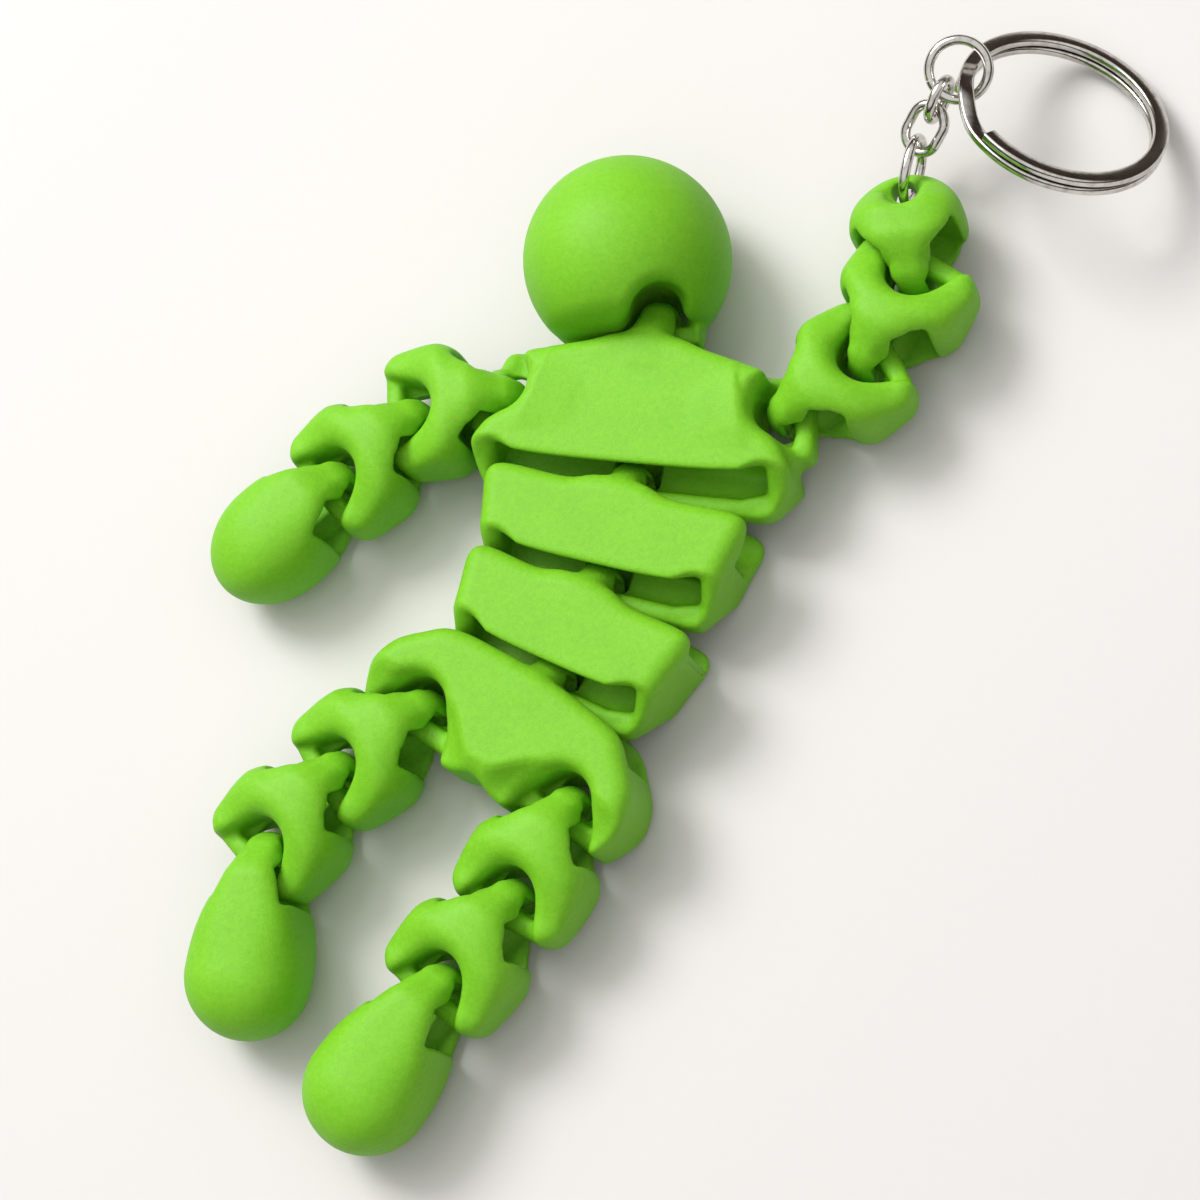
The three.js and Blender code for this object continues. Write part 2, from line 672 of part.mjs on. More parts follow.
const figure = new THREE.Group();
const chestGroup = attach(figure, "chest", chest(), 0, 0, CHEST_DIRECTION_DEG - 90);
attach(chestGroup, "head", head(), 0, 0, 180 + HEAD_REST_DEG);
const upperWaist = waistLink(UPPER_WAIST_HALF_WIDTH, CHEST_HALF_WIDTH - 2);
const lowerWaist = waistLink(LOWER_WAIST_HALF_WIDTH, UPPER_WAIST_HALF_WIDTH - 2);
const upperGroup = attach(chestGroup, "waist_upper", upperWaist, 0, CHEST_LENGTH, WAIST_REST_DEG.upper);
const lowerGroup = attach(upperGroup, "waist_lower", lowerWaist, 0, WAIST_PITCH, WAIST_REST_DEG.lower);
const pelvisGroup = attach(lowerGroup, "pelvis", pelvis(), 0, WAIST_PITCH, WAIST_REST_DEG.pelvis);

const armLink = limbLink(ARM_PITCH);
const legLink = limbLink(LEG_PITCH);
const raisedArmLink = limbLink(RAISED_ARM_PITCH);
const foot = egg(FOOT_LENGTH, FOOT_HALF_WIDTH, FOOT_MIDDLE_SHARE, HALF_THICK);
const hand = egg(HAND_LENGTH, HAND_HALF_WIDTH, HAND_MIDDLE_SHARE, HALF_THICK);

limb(
  chestGroup,
  ["left_upper_arm", "left_forearm", "left_hand"],
  [armLink, armLink, hand],
  ARM_PITCH,
  [SHOULDER_HALF_SPAN, NECK_TO_SHOULDER, -90 - SHOULDER_UP_DEG],
  ARM_REST_DEG.left,
);
const rightHand = limb(
  chestGroup,
  ["right_upper_arm", "right_forearm", "right_hand"],
  [raisedArmLink, raisedArmLink, ringHand()],
  RAISED_ARM_PITCH,
  [-SHOULDER_HALF_SPAN, NECK_TO_SHOULDER, 90 + SHOULDER_UP_DEG],
  ARM_REST_DEG.right,
);
for (const [side, name] of [[1, "left"], [-1, "right"]]) {
  limb(
    pelvisGroup,
    [`${name}_thigh`, `${name}_shin`, `${name}_foot`],
    [legLink, legLink, foot],
    LEG_PITCH,
    [side * HIP_HALF_SPAN, WAIST_TO_HIP, 0],
    LEG_REST_DEG[name],
  );
}

// Direction of a link from its heading and its rise
function along(headingDeg, riseDeg) {
  const euler = new THREE.Euler(THREE.MathUtils.degToRad(riseDeg), 0, THREE.MathUtils.degToRad(headingDeg), "ZXY");
  return new THREE.Vector3(0, 1, 0).applyEuler(euler);
}

function chainMesh(name, radius, straight, centre, headingDeg, riseDeg, rollDeg) {
  const mesh = named(name, chainLink(radius, straight), CHROME);
  mesh.position.copy(centre);
  const [heading, rise, roll] = [headingDeg, riseDeg, rollDeg].map(THREE.MathUtils.degToRad);
  mesh.rotation.set(rise, roll, heading, "ZXY");
  figure.add(mesh);
}

// The chain runs from the hole in the raised hand; each link hooks inside the one before
figure.updateMatrixWorld(true);
const hole = rightHand.localToWorld(new THREE.Vector3(0, holeDistance(), 0));
const hookGap = 2 * WIRE_RADIUS + CLEARANCE;
const links = [
  ["chain_link_a", HAND_LINK_RADIUS, HAND_LINK_STRAIGHT, 90, 0],
  ["chain_link_b", LINK_RADIUS, LINK_STRAIGHT, 0, hookGap],
  ["chain_link_c", LINK_RADIUS, SHORT_LINK_STRAIGHT, 90, hookGap],
  ["chain_link_d", RING_LINK_RADIUS, 0, RING_LINK_ROLL_DEG, hookGap + RING_LINK_SLACK],
];
hole.z -= HAND_LINK_DROP;
const centre = new THREE.Vector3();
const hook = hole.clone().addScaledVector(along(CHAIN_HEADINGS_DEG[0], CHAIN_RISES_DEG[0]), -HAND_LINK_SEAT);
links.forEach(([name, radius, straight, roll, overlap], k) => {
  const way = along(CHAIN_HEADINGS_DEG[k], CHAIN_RISES_DEG[k]);
  const half = radius + straight / 2;
  centre.copy(hook).addScaledVector(way, half - overlap);
  chainMesh(name, radius, straight, centre, CHAIN_HEADINGS_DEG[k], CHAIN_RISES_DEG[k], roll);
  hook.copy(centre).addScaledVector(way, half);
});

// The split ring passes through the middle of the last link and leans
const lean = THREE.MathUtils.degToRad(KEY_RING_LEAN_DEG);
const tilt = THREE.MathUtils.degToRad(KEY_RING_TILT_DEG);
const ring = named("key_ring", keyRing(), CHROME);
ring.rotation.set(0, tilt, lean, "ZYX");
ring.updateMatrixWorld(true);
const hookAngle = THREE.MathUtils.degToRad(KEY_RING_HOOK_DEG - KEY_RING_LEAN_DEG);
const middleRadius = KEY_RING_RADIUS - KEY_RING_BAND / 2;
const touch = new THREE.Vector3(Math.cos(hookAngle), Math.sin(hookAngle), 0).multiplyScalar(middleRadius);
ring.position.copy(centre).sub(touch.applyEuler(ring.rotation));
ring.position.add(new THREE.Vector3(...KEY_RING_SEAT));
figure.add(ring);

// The origin is at the middle of the whole, on the table
figure.updateMatrixWorld(true);
const box = new THREE.Box3().setFromObject(figure, true);
const middle = box.getCenter(new THREE.Vector3());
figure.position.set(-middle.x, -middle.y, MID_HEIGHT);

export default figure;
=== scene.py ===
"""Linked toy figure of lime-green plastic on a short metal chain with a split key ring.

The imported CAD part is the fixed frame. Each CAD node is stood for by a finer piece of the same form.
Lengths in the green pieces are millimetres, and everything else is in metres.
"""

from __future__ import annotations

import json
import logging
import math
from collections.abc import Callable
from dataclasses import dataclass, field
from enum import Enum
from typing import Any

import bpy
import numpy as np
from mathutils import Matrix, Vector

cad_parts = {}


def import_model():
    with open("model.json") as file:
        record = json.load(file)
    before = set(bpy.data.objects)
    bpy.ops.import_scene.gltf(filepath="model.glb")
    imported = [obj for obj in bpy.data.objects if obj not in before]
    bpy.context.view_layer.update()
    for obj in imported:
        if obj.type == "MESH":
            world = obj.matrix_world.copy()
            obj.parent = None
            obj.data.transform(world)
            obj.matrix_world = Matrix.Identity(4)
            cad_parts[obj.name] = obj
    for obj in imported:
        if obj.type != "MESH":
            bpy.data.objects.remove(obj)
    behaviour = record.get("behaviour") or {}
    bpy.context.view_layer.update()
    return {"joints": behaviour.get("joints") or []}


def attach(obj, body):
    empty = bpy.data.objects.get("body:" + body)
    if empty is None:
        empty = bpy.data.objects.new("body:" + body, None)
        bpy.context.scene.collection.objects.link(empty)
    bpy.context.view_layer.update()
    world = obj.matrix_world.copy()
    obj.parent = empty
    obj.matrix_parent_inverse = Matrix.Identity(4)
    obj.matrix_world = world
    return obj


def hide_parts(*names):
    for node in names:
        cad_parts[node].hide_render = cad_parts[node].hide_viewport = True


LOG = logging.getLogger("toy_figure")
Array = np.ndarray
Outline = list[tuple[float, float]]
Triple = tuple[float, float, float]

# A millimetre in metres, and the least value under a root or a division
MM = 0.001
LEAST = 1e-4


class Slot(Enum):
    """The record's material slots."""

    GREEN = "green_plastic"
    METAL = "bright_metal"


class Side(Enum):
    """The photograph's left and right, with the sign of x in a torso piece's own frame."""

    LEFT = 1
    RIGHT = -1


# Functions that several shapes use


def ramp(t: Array) -> Array:
    """Smooth step from 0 to 1."""
    s = np.clip(t, 0.0, 1.0)
    return s * s * (3 - 2 * s)


def mix(start: Any, end: Any, t: Any) -> Any:
    """Value between start and end."""
    return start + (end - start) * t


def round_max(a: Array, b: Array, radius: float) -> Array:
    """Larger of two distances, with the edge between them rounded."""
    near = np.maximum(radius - np.abs(a - b), 0.0) / radius
    return np.maximum(a, b) + near * near * radius / 4


def round_min(a: Array, b: Array, radius: float) -> Array:
    """Smaller of two distances, with the corner between them filled."""
    return -round_max(-a, -b, radius)


def dome(t: Array) -> Array:
    """Height of a quarter circle, 1 at its start and nearly 0 at its end."""
    return np.sqrt(np.maximum(1 - t**2, LEAST))


def oval(x: Array, z: Array, half_width: Array, half_thick: Array, squareness: Array) -> Array:
    """Distance to a rounded section.

    Args:
        x: Place across the section.
        z: Place through the section.
        half_width: Its half size along x.
        half_thick: Its half size along z.
        squareness: 2 is an ellipse, and more is squarer.

    Returns:
        About the distance to the section, negative inside.
    """
    share = (np.abs(x) / half_width) ** squareness + (np.abs(z) / half_thick) ** squareness
    return (share ** (1 / squareness) - 1) * np.minimum(half_width, half_thick)


def rounded_loop(half: Outline, per_span: int = 8) -> Array:
    """Closed smooth outline through half of its points and their mirror image.

    Args:
        half: Points from the top middle to the bottom middle.
        per_span: Points made for each given one.

    Returns:
        The outline's points, one a row.
    """
    mirrored = [(-x, y) for x, y in reversed(half[1:-1])]
    points = np.array(half + mirrored)
    before, after, beyond = (np.roll(points, k, axis=0) for k in (1, -1, -2))
    spans = ((before, points), (points, after), (after, beyond))
    first, middle, last = (np.linalg.norm(b - a, axis=1)[:, None] ** 0.5 for a, b in spans)
    leave = (points - before) / first - (after - before) / (first + middle) + (after - points) / middle
    arrive = (after - points) / middle - (beyond - points) / (middle + last) + (beyond - after) / last
    leave, arrive = leave * middle, arrive * middle
    rows = []
    for t in np.arange(per_span) / per_span:
        rows.append(
            (2 * t**3 - 3 * t**2 + 1) * points
            + (t**3 - 2 * t**2 + t) * leave
            + (3 * t**2 - 2 * t**3) * after
            + (t**3 - t**2) * arrive
        )
    return np.stack(rows, axis=1).reshape(-1, 2)


def outline_distance(x: Array, y: Array, outline: Array) -> Array:
    """Distance in the plane to a closed outline.

    Args:
        x: Places along x.
        y: Places along y.
        outline: The outline's points.

    Returns:
        The distance, negative inside, in the shape that x and y broadcast to.
    """
    wide_x, wide_y = np.broadcast_arrays(x, y)
    px, py = wide_x.ravel(), wide_y.ravel()
    best = np.full(px.shape, np.inf)
    inside = np.zeros(px.shape, bool)
    for (ax, ay), (bx, by) in zip(outline, np.roll(outline, -1, axis=0)):
        ex, ey = bx - ax, by - ay
        t = np.clip(((px - ax) * ex + (py - ay) * ey) / (ex * ex + ey * ey), 0, 1)
        best = np.minimum(best, (px - ax - t * ex) ** 2 + (py - ay - t * ey) ** 2)
        crosses = (ay > py) != (by > py)
        inside ^= crosses & (px < ex * (py - ay) / (ey or 1.0) + ax)
    return (np.where(inside, -1.0, 1.0) * np.sqrt(best)).reshape(wide_x.shape)


@dataclass(frozen=True)
class Fit:
    """Sizes of the loops, bars and sockets that hold the green pieces together."""

    clearance: float = 0.35
    facet_allowance: float = 0.05
    strand_radius: float = 1.3
    half_thick: float = 6.7
    mid_height: float = 6.3
    neck_half_width: float = 2.4
    neck_half_thick: float = 3.4
    neck_round_start: float = 1.0
    taper_start: float = 0.6
    rise_end: float = 4.8
    bar_half_depth: float = 1.3
    bar_half_thick: float = 1.7
    bar_squareness: float = 3.0
    bar_end_swell: float = 0.9
    bar_end_fillet: float = 1.2
    bar_end_thicker: float = 1.3
    tip_past_bar: float = 0.7
    tip_round: float = 4.4
    leg_half_thick: float = 3.8
    leg_thin_start: float = 4.8
    leg_thin_end: float = 2.2
    taper_reach: float = 2.6
    mouth_flare: float = 0.22
    mouth_flare_start: float = 4.4
    mouth_flare_depth: float = 2.4
    web_drop: float = 1.1
    web_bend: float = -1.8
    web_slope: float = 0.9
    web_slope_reach: float = 3.0
    web_half_thick: float = 0.6
    web_blend: float = 1.2
    rim_round: float = 1.6
    fillet: float = 0.5
    room_fillet: float = 1.0

    @property
    def apex(self) -> float:
        """How far a socket reaches past its joint."""
        return self.strand_radius + self.clearance + self.facet_allowance

    @property
    def bar_end(self) -> float:
        """Far side of a cross bar."""
        return self.apex + 2 * self.bar_half_depth

    @property
    def leg_tip(self) -> float:
        """How far the legs of a socket reach past its joint."""
        return self.bar_end + self.tip_past_bar

    def neck_width(self, y: Array) -> Array:
        """Half width of a neck, rounded where its strand ends it."""
        past = (self.neck_round_start - y) / (self.strand_radius + self.neck_round_start)
        return self.neck_half_width * dome(np.clip(past, 0, 1))

    def neck_thick(self, y: Array) -> Array:
        """Half thickness of a neck, which rises to the body's."""
        rise = ramp((y + self.strand_radius) / (self.rise_end + self.strand_radius))
        past = (self.taper_start - y) / (self.strand_radius + self.taper_start)
        return mix(self.neck_half_thick, self.half_thick, rise) * dome(np.clip(past, 0, 1))

    def leg_end(self, past: Array) -> Array:
        """How near its tip a leg is, from 0 to 1."""
        return np.clip(1 - (self.leg_tip - past) / self.tip_round, 0, 1)

    def leg_thick(self, past: Array) -> Array:
        """Half thickness of a socket's legs, by the distance past its joint."""
        share = ramp((past + self.leg_thin_start) / (self.bar_end + self.leg_thin_start - self.leg_thin_end))
        return mix(self.half_thick, self.leg_half_thick, share)

    def below_face(self, z: Array) -> Array:
        """Depth below the front or the back of a piece, whichever is nearer."""
        return np.clip(self.half_thick - np.abs(z), 0, self.half_thick - self.bar_half_thick)

    def flare(self, z: Array) -> Array:
        """How much wider a socket is towards the front and the back."""
        return self.mouth_flare * np.clip(np.abs(z) - self.mouth_flare_start, 0, self.mouth_flare_depth)


FIT = Fit()


@dataclass(frozen=True)
class Arch:
    """A socket's mouth: a round top that opens in a wedge up to its widest."""

    radius: float
    spread_deg: float
    widest: float = 4.7
    deeper: float = 0.4
    undercut: float = 0.12
    corner_round: float = 1.6

    def distance(self, x: Array, past: Array, z: Array) -> Array:
        """Distance to the mouth, negative in it, where past grows from its joint to its opening."""
        spread = math.radians(self.spread_deg)
        across, along = np.abs(x), past - (self.radius - FIT.apex - self.deeper)
        along = along + self.undercut * FIT.below_face(z)
        wedge = across * math.cos(spread) - along * math.sin(spread)
        straight = across * math.sin(spread) + along * math.cos(spread) > 0
        mouth = np.where(straight, wedge, np.hypot(across, along)) - self.radius - FIT.flare(z)
        return round_max(mouth, across - self.widest, self.corner_round)


@dataclass(frozen=True)
class WideSlot:
    """A slot across a torso piece, with a gently arched lip."""

    half_span: float
    corner_drop: float = -0.3
    lip_power: float = 4.0
    overhang: float = 2.8
    undercut: float = 0.9
    flare_share: float = 0.4
    corner_round: float = 1.2

    def distance(self, x: Array, past: Array, z: Array) -> Array:
        """Distance to the slot, negative in it."""
        share = np.minimum(np.abs(x) / self.half_span, 1) ** self.lip_power
        lip = mix(self.overhang - FIT.apex, -self.corner_drop, share) - self.undercut * FIT.below_face(z)
        side = np.abs(x) - self.half_span - self.flare_share * FIT.flare(z)
        return round_max(lip - past, side, self.corner_round)


@dataclass(frozen=True)
class Socket:
    """Where the next piece's loop goes: a mouth with a cross bar behind its front.

    Attributes:
        mouth: The opening's form.
        y: Its joint's place along the piece.
        half_span: Half the length of its bar.
        straight: Where the bar starts to swell towards its ends.
        x: Its joint's place across the piece.
        turn_deg: Its opening's turn from the piece's own direction.
        web_start: Where the thin webs beside the loop begin.
    """

    mouth: Arch | WideSlot
    y: float
    half_span: float
    straight: float
    x: float = 0.0
    turn_deg: float = 0.0
    web_start: float = 2.6

    def local(self, x: Array, y: Array) -> tuple[Array, Array]:
        """Places across this socket and past its joint."""
        x, y = x - self.x, y - self.y
        cosine, sine = math.cos(math.radians(self.turn_deg)), math.sin(math.radians(self.turn_deg))
        return x * cosine + y * sine, y * cosine - x * sine

    def carve(self, body: Array, x: Array, y: Array, z: Array) -> Array:
        """The body with this socket cut in it.

        Args:
            body: Distance to the body.
            x: Places across the piece.
            y: Places along the piece.
            z: Places through the piece.

        Returns:
            Distance to what is left.
        """
        across, past = self.local(x, y)
        swell = np.clip((np.abs(across) - self.straight) / (self.half_span - self.straight), 0, 1)
        near = FIT.apex - FIT.bar_end_fillet * swell
        far = FIT.bar_end + FIT.bar_end_swell * swell**2
        middle = (near + far) / 2
        thick = FIT.bar_half_thick + FIT.bar_end_thicker * swell
        bar = oval(past - middle, z, (far - near) / 2, thick, FIT.bar_squareness)
        drop = FIT.web_drop + FIT.web_slope * np.clip(FIT.web_bend - past, 0, FIT.web_slope_reach)
        web = np.maximum(np.abs(z + drop) - FIT.web_half_thick, self.web_start - np.abs(across))
        bar = round_min(bar, np.maximum(web, past - middle), FIT.web_blend)
        kept = round_min(-self.mouth.distance(across, past, z), bar, FIT.fillet)
        return round_max(body, kept, FIT.rim_round)


@dataclass(frozen=True)
class BarRoom:
    """Hollow behind a strand, in which the neighbour's bar and legs swing.

    Attributes:
        rises: Its height beyond the bar's, as pairs of a place across and a height.
        bend_deg: How far the neighbour swings.
        tip_span: Half span of the neighbour's leg tips.
    """

    rises: tuple[tuple[float, float], ...]
    bend_deg: float
    tip_span: float
    near_slope: float = 4.0
    near_round: float = 0.3
    lid_round: float = 0.8
    low_radius: float = 2.9
    low_blend: float = 1.5
    tail_drop: float = 0.0
    tail_start: float = 4.8
    tail_blend: float = 2.5

    def distance(self, x: Array, y: Array, z: Array) -> Array:
        """Distance to the room, negative in it."""
        across = np.abs(x)
        bend = math.radians(self.bend_deg)
        places, rises = zip(*self.rises)
        away = ramp((np.hypot(across, y) - self.low_radius) / self.low_blend)
        tail = self.tail_drop * ramp((y - self.tail_start) / self.tail_blend)
        rise = np.maximum(np.interp(across, places, rises) * away - tail, 0)
        height = FIT.bar_half_thick + FIT.clearance + rise
        deep = (FIT.bar_end + FIT.clearance) / math.cos(bend)
        along = (FIT.leg_tip + FIT.clearance + across * math.sin(bend)) / math.cos(bend)
        reach = math.hypot(FIT.leg_tip, self.tip_span) + FIT.clearance
        limit = np.sqrt(np.maximum(deep**2, reach**2 - across**2))
        strand = np.sqrt(np.maximum(FIT.strand_radius**2 - across**2, 0))
        outer = -FIT.bar_end * ramp((across - FIT.strand_radius) / self.near_slope)
        near = np.where(across < FIT.strand_radius, strand, outer)
        room = round_max(near - y, y - np.minimum(along, limit), self.near_round)
        return round_max(room, np.abs(z) - height, self.lid_round)


# The mouths and the rooms behind the strands, by the kind of joint

LIMB_ARCH = Arch(radius=3.3, spread_deg=24)
SHOULDER_ARCH = Arch(radius=3.0, spread_deg=31, widest=4.9)
HIP_ARCH = Arch(radius=3.3, spread_deg=28, widest=5.2)
HEAD_ARCH = Arch(radius=2.9, spread_deg=16)
LIMB_ROOM = BarRoom(
    rises=((0, 0), (0.8, 0), (1.3, 0.8), (1.9, 2.5), (4, 2.8), (5.5, 2.3), (7, 1.4), (9, 1.1)),
    bend_deg=37,
    tip_span=6.2,
)
CHEST_ROOM = BarRoom(
    rises=((0, 0), (0.8, 0), (1.3, 0.45), (2, 1.25), (3.6, 1.15), (7, 0.55), (12, 0.55)),
    bend_deg=20,
    tip_span=10,
)


def waist_room(tip_span: float) -> BarRoom:
    """Room for a wide bar, taller where the neighbour's thick side legs are."""
    middle = ((0, 0), (0.8, 0), (1.3, 0.25), (2.4, 0.55))
    side = ((tip_span - 5, 0.95), (tip_span - 2, 2.35), (tip_span + 8, 2.35))
    return BarRoom(middle + side, bend_deg=10.5, tip_span=tip_span, tail_drop=1.2)


@dataclass
class GreenPiece:
    """A green piece in its own frame: loop at the origin, body along +Y, mid plane at z = 0.

    Attributes:
        name: The CAD node and body that it stands for.
        origin: Its joint in the row frame, in millimetres.
        heading: Direction of its +Y, in radians.
        voxel: Grid step of its net.
        margin: How far the net reaches past the CAD node.
        under_round: Rounding of its flat underside's edge.
    """

    name: str
    origin: Vector
    heading: float
    voxel: float = 0.3
    margin: float = 0.8
    under_round: float = 0.6

    def body(self, x: Array, y: Array, z: Array) -> Array:
        """Distance to the piece before its underside is made flat."""
        raise NotImplementedError

    def shape(self, x: Array, y: Array, z: Array) -> Array:
        """Distance to the finished piece, negative inside."""
        return round_max(self.body(x, y, z), -FIT.mid_height - z, self.under_round)

    def to_world(self) -> Matrix:
        """From the piece's own frame to the row frame, both in millimetres."""
        return Matrix.Translation(self.origin) @ Matrix.Rotation(self.heading - math.pi / 2, 4, "Z")

    def limits(self) -> tuple[Array, Array]:
        """Lowest and highest corner of the CAD node in the piece's own frame."""
        node = bpy.data.objects[self.name]
        places = np.empty(3 * len(node.data.vertices))
        node.data.vertices.foreach_get("co", places)
        inverse = np.array(self.to_world().inverted())
        local = places.reshape(-1, 3) / MM @ inverse[:3, :3].T + inverse[:3, 3]
        return local.min(0) - self.margin, local.max(0) + self.margin

    def net(self) -> tuple[Array, Array]:
        """Closed net of quads over the piece.

        Returns:
            The vertices in the piece's own frame, and four vertex numbers a face.
        """
        low, high = self.limits()
        axes = [np.arange(a, b + self.voxel, self.voxel) for a, b in zip(low, high)]
        values = self.shape(axes[0][:, None, None], axes[1][None, :, None], axes[2][None, None, :])
        # The grid's outermost points count as outside
        for side in (0, -1):
            values[side], values[:, side], values[:, :, side] = 1.0, 1.0, 1.0
        inside = values < 0
        corners = [np.array(c) for c in np.ndindex(2, 2, 2)]
        stack = np.stack([inside[tuple(slice(c, c - 1 or None) for c in corner)] for corner in corners])
        active = stack.any(0) & ~stack.all(0)
        cells = np.argwhere(active)
        number = np.full(active.shape, -1)
        number[active] = np.arange(len(cells))
        # A cell's vertex is the mean of the places where the surface crosses its edges
        total, count = np.zeros((len(cells), 3)), np.zeros(len(cells))
        for start in corners:
            for axis in np.flatnonzero(start == 0):
                end = start.copy()
                end[axis] = 1
                a, b = values[tuple((cells + start).T)], values[tuple((cells + end).T)]
                crossed = (a < 0) != (b < 0)
                t = np.where(crossed, a / np.where(crossed, a - b, 1), 0)
                total += crossed[:, None] * (start + t[:, None] * (end - start))
                count += crossed
        vertices = low + self.voxel * (cells + total / count[:, None])
        faces = [self._quads(inside, number, axis) for axis in range(3)]
        return self._settled(vertices), np.concatenate(faces)

    @staticmethod
    def _quads(inside: Array, number: Array, axis: int) -> Array:
        """Faces across the grid edges that run along one axis."""
        u, v = (axis + 1) % 3, (axis + 2) % 3
        low = np.take(inside, range(inside.shape[axis] - 1), axis)
        high = np.take(inside, range(1, inside.shape[axis]), axis)
        edges = np.argwhere(low != high)
        step_u, step_v = np.eye(3, dtype=int)[u], np.eye(3, dtype=int)[v]
        around = [edges - step_u - step_v, edges - step_v, edges, edges - step_u]
        quads = np.stack([number[tuple(cell.T)] for cell in around], axis=1)
        leaves = low[tuple(edges.T)]
        return np.where(leaves[:, None], quads, quads[:, ::-1])

    def _settled(self, vertices: Array) -> Array:
        """Vertices moved onto the surface itself, in a few short steps down the distance's slope."""
        rounds, reach = 2, 0.02
        least_slope, longest = 0.2, 0.5 * self.voxel
        for _ in range(rounds):
            x, y, z = vertices.T
            value = self.shape(x, y, z)
            offsets = np.eye(3) * reach
            slope = np.stack([(self.shape(x + dx, y + dy, z + dz) - value) / reach for dx, dy, dz in offsets])
            step = value / np.maximum((slope**2).sum(0), least_slope) * slope
            length = np.linalg.norm(step, axis=0)
            step *= np.minimum(1, longest / np.maximum(length, LEAST))
            vertices = vertices - step.T
        return vertices

    def build(self, finish: bpy.types.Material) -> bpy.types.Object:
        """The piece as an object that rides on its body.

        Args:
            finish: Its material.

        Returns:
            The new object.
        """
        vertices, faces = self.net()
        world = np.array(self.to_world())
        vertices = (vertices @ world[:3, :3].T + world[:3, 3]) * MM
        mesh = bpy.data.meshes.new(f"{self.name}_skin")
        mesh.from_pydata(vertices.tolist(), [], faces.tolist())
        mesh.shade_smooth()
        mesh.materials.append(finish)
        return placed_piece(mesh, self.name, Slot.GREEN)


def linked(name: str, data: bpy.types.ID) -> bpy.types.Object:
    """A new object in the scene."""
    made = bpy.data.objects.new(name, data)
    bpy.context.scene.collection.objects.link(made)
    return made


def placed_piece(mesh: bpy.types.Mesh, node: str, slot: Slot) -> bpy.types.Object:
    """An object for a finished mesh, which rides on a body and stands for its node.

    Args:
        mesh: The mesh, in the row frame.
        node: The CAD node, which has its body's name.
        slot: The record's slot for its finish. Not used.

    Returns:
        The object.
    """
    piece = linked(f"{node}_skin", mesh)
    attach(piece, node)
    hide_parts(node)
    LOG.info("%s: %d faces", piece.name, len(mesh.polygons))
    return piece


@dataclass
class LimbLink(GreenPiece):
    """A link of an arm or leg: narrow neck in front, two legs and a bar at its end."""

    pitch: float = 12.3
    half_width: float = 7.6
    flare_start: float = 1.0
    flare_end: float = 8.6
    flare_power: float = 0.8
    squareness: float = 2.5
    leg_squareness: float = 4.5
    square_reach: float = 6.0
    tip_narrower: float = 0.2
    tip_thinner: float = 0.4
    end_round: float = 3.4
    bar_past_side: float = 0.4
    bar_straight: float = 3.2

    def body(self, x: Array, y: Array, z: Array) -> Array:
        """Distance to the link."""
        past = y - self.pitch
        flare = ramp((y - self.flare_start) / (self.flare_end - self.flare_start)) ** self.flare_power
        tip = FIT.leg_end(past)
        width = mix(FIT.neck_width(y), self.half_width, flare) * (1 - self.tip_narrower * tip**2)
        thick = np.minimum(FIT.neck_thick(y), FIT.leg_thick(past)) * np.sqrt(1 - self.tip_thinner * tip**4)
        legs = ramp((past + self.square_reach) / self.square_reach)
        link = oval(x, z, width, thick, mix(self.squareness, self.leg_squareness, legs))
        link = round_max(link, past - FIT.leg_tip, self.end_round)
        link = np.maximum(link, -FIT.strand_radius - y)
        socket = Socket(LIMB_ARCH, self.pitch, self.half_width + self.bar_past_side, self.bar_straight)
        link = socket.carve(link, x, y, z)
        return round_max(link, -LIMB_ROOM.distance(x, y, z), FIT.room_fillet)


@dataclass
class EndLobe(GreenPiece):
    """A foot or hand: the neck swells into an egg."""

    length: float = 22.8
    half_width: float = 7.2
    middle_share: float = 0.68
    end_half_thick: float = 6.7
    thin_start_share: float = 0.6
    flare_start: float = 1.0
    flare_power: float = 0.6
    squareness: float = 2.3
    root_squareness: float = 3.2

    def body(self, x: Array, y: Array, z: Array) -> Array:
        """Distance to the lobe."""
        middle = self.middle_share * self.length
        flare = ramp((y - self.flare_start) / (middle - self.flare_start)) ** self.flare_power
        close = dome(np.clip((y - middle) / (self.length - middle), 0, 1))
        thin_start = self.thin_start_share * middle
        thin = ramp((y - thin_start) / (self.length - thin_start))
        width = mix(FIT.neck_width(y), self.half_width, flare) * close
        thick = mix(FIT.neck_thick(y), self.end_half_thick, thin) * close
        squareness = mix(self.root_squareness, self.squareness, ramp((y - middle / 2) / (middle / 2)))
        lobe = oval(x, z, width, thick, squareness)
        lobe = np.maximum(lobe, np.maximum(-FIT.strand_radius - y, y - self.length))
        return round_max(lobe, -LIMB_ROOM.distance(x, y, z), FIT.room_fillet)


@dataclass
class RingHand(EndLobe):
    """The raised hand, thin at its end, with a hole for the chain."""

    length: float = 13.8
    half_width: float = 6.7
    middle_share: float = 0.5
    end_half_thick: float = 2.6
    thin_start_share: float = 1.1
    flare_start: float = 1.7
    squareness: float = 2.8
    hole_radius: float = 1.4
    hole_wall: float = 1.2
    hole_flare: float = 1.6
    hole_outer_share: float = 0.4
    hole_round: float = 0.9

    def body(self, x: Array, y: Array, z: Array) -> Array:
        """Distance to the hand with its hole."""
        place = self.length - self.hole_wall - self.hole_radius
        wider = np.maximum(np.abs(z) - self.hole_flare, 0)
        wider = wider * np.where(wider > self.hole_flare, self.hole_outer_share, 1.0)
        hole = np.hypot(x, y - place) - self.hole_radius - wider
        return round_max(super().body(x, y, z), -hole, self.hole_round)


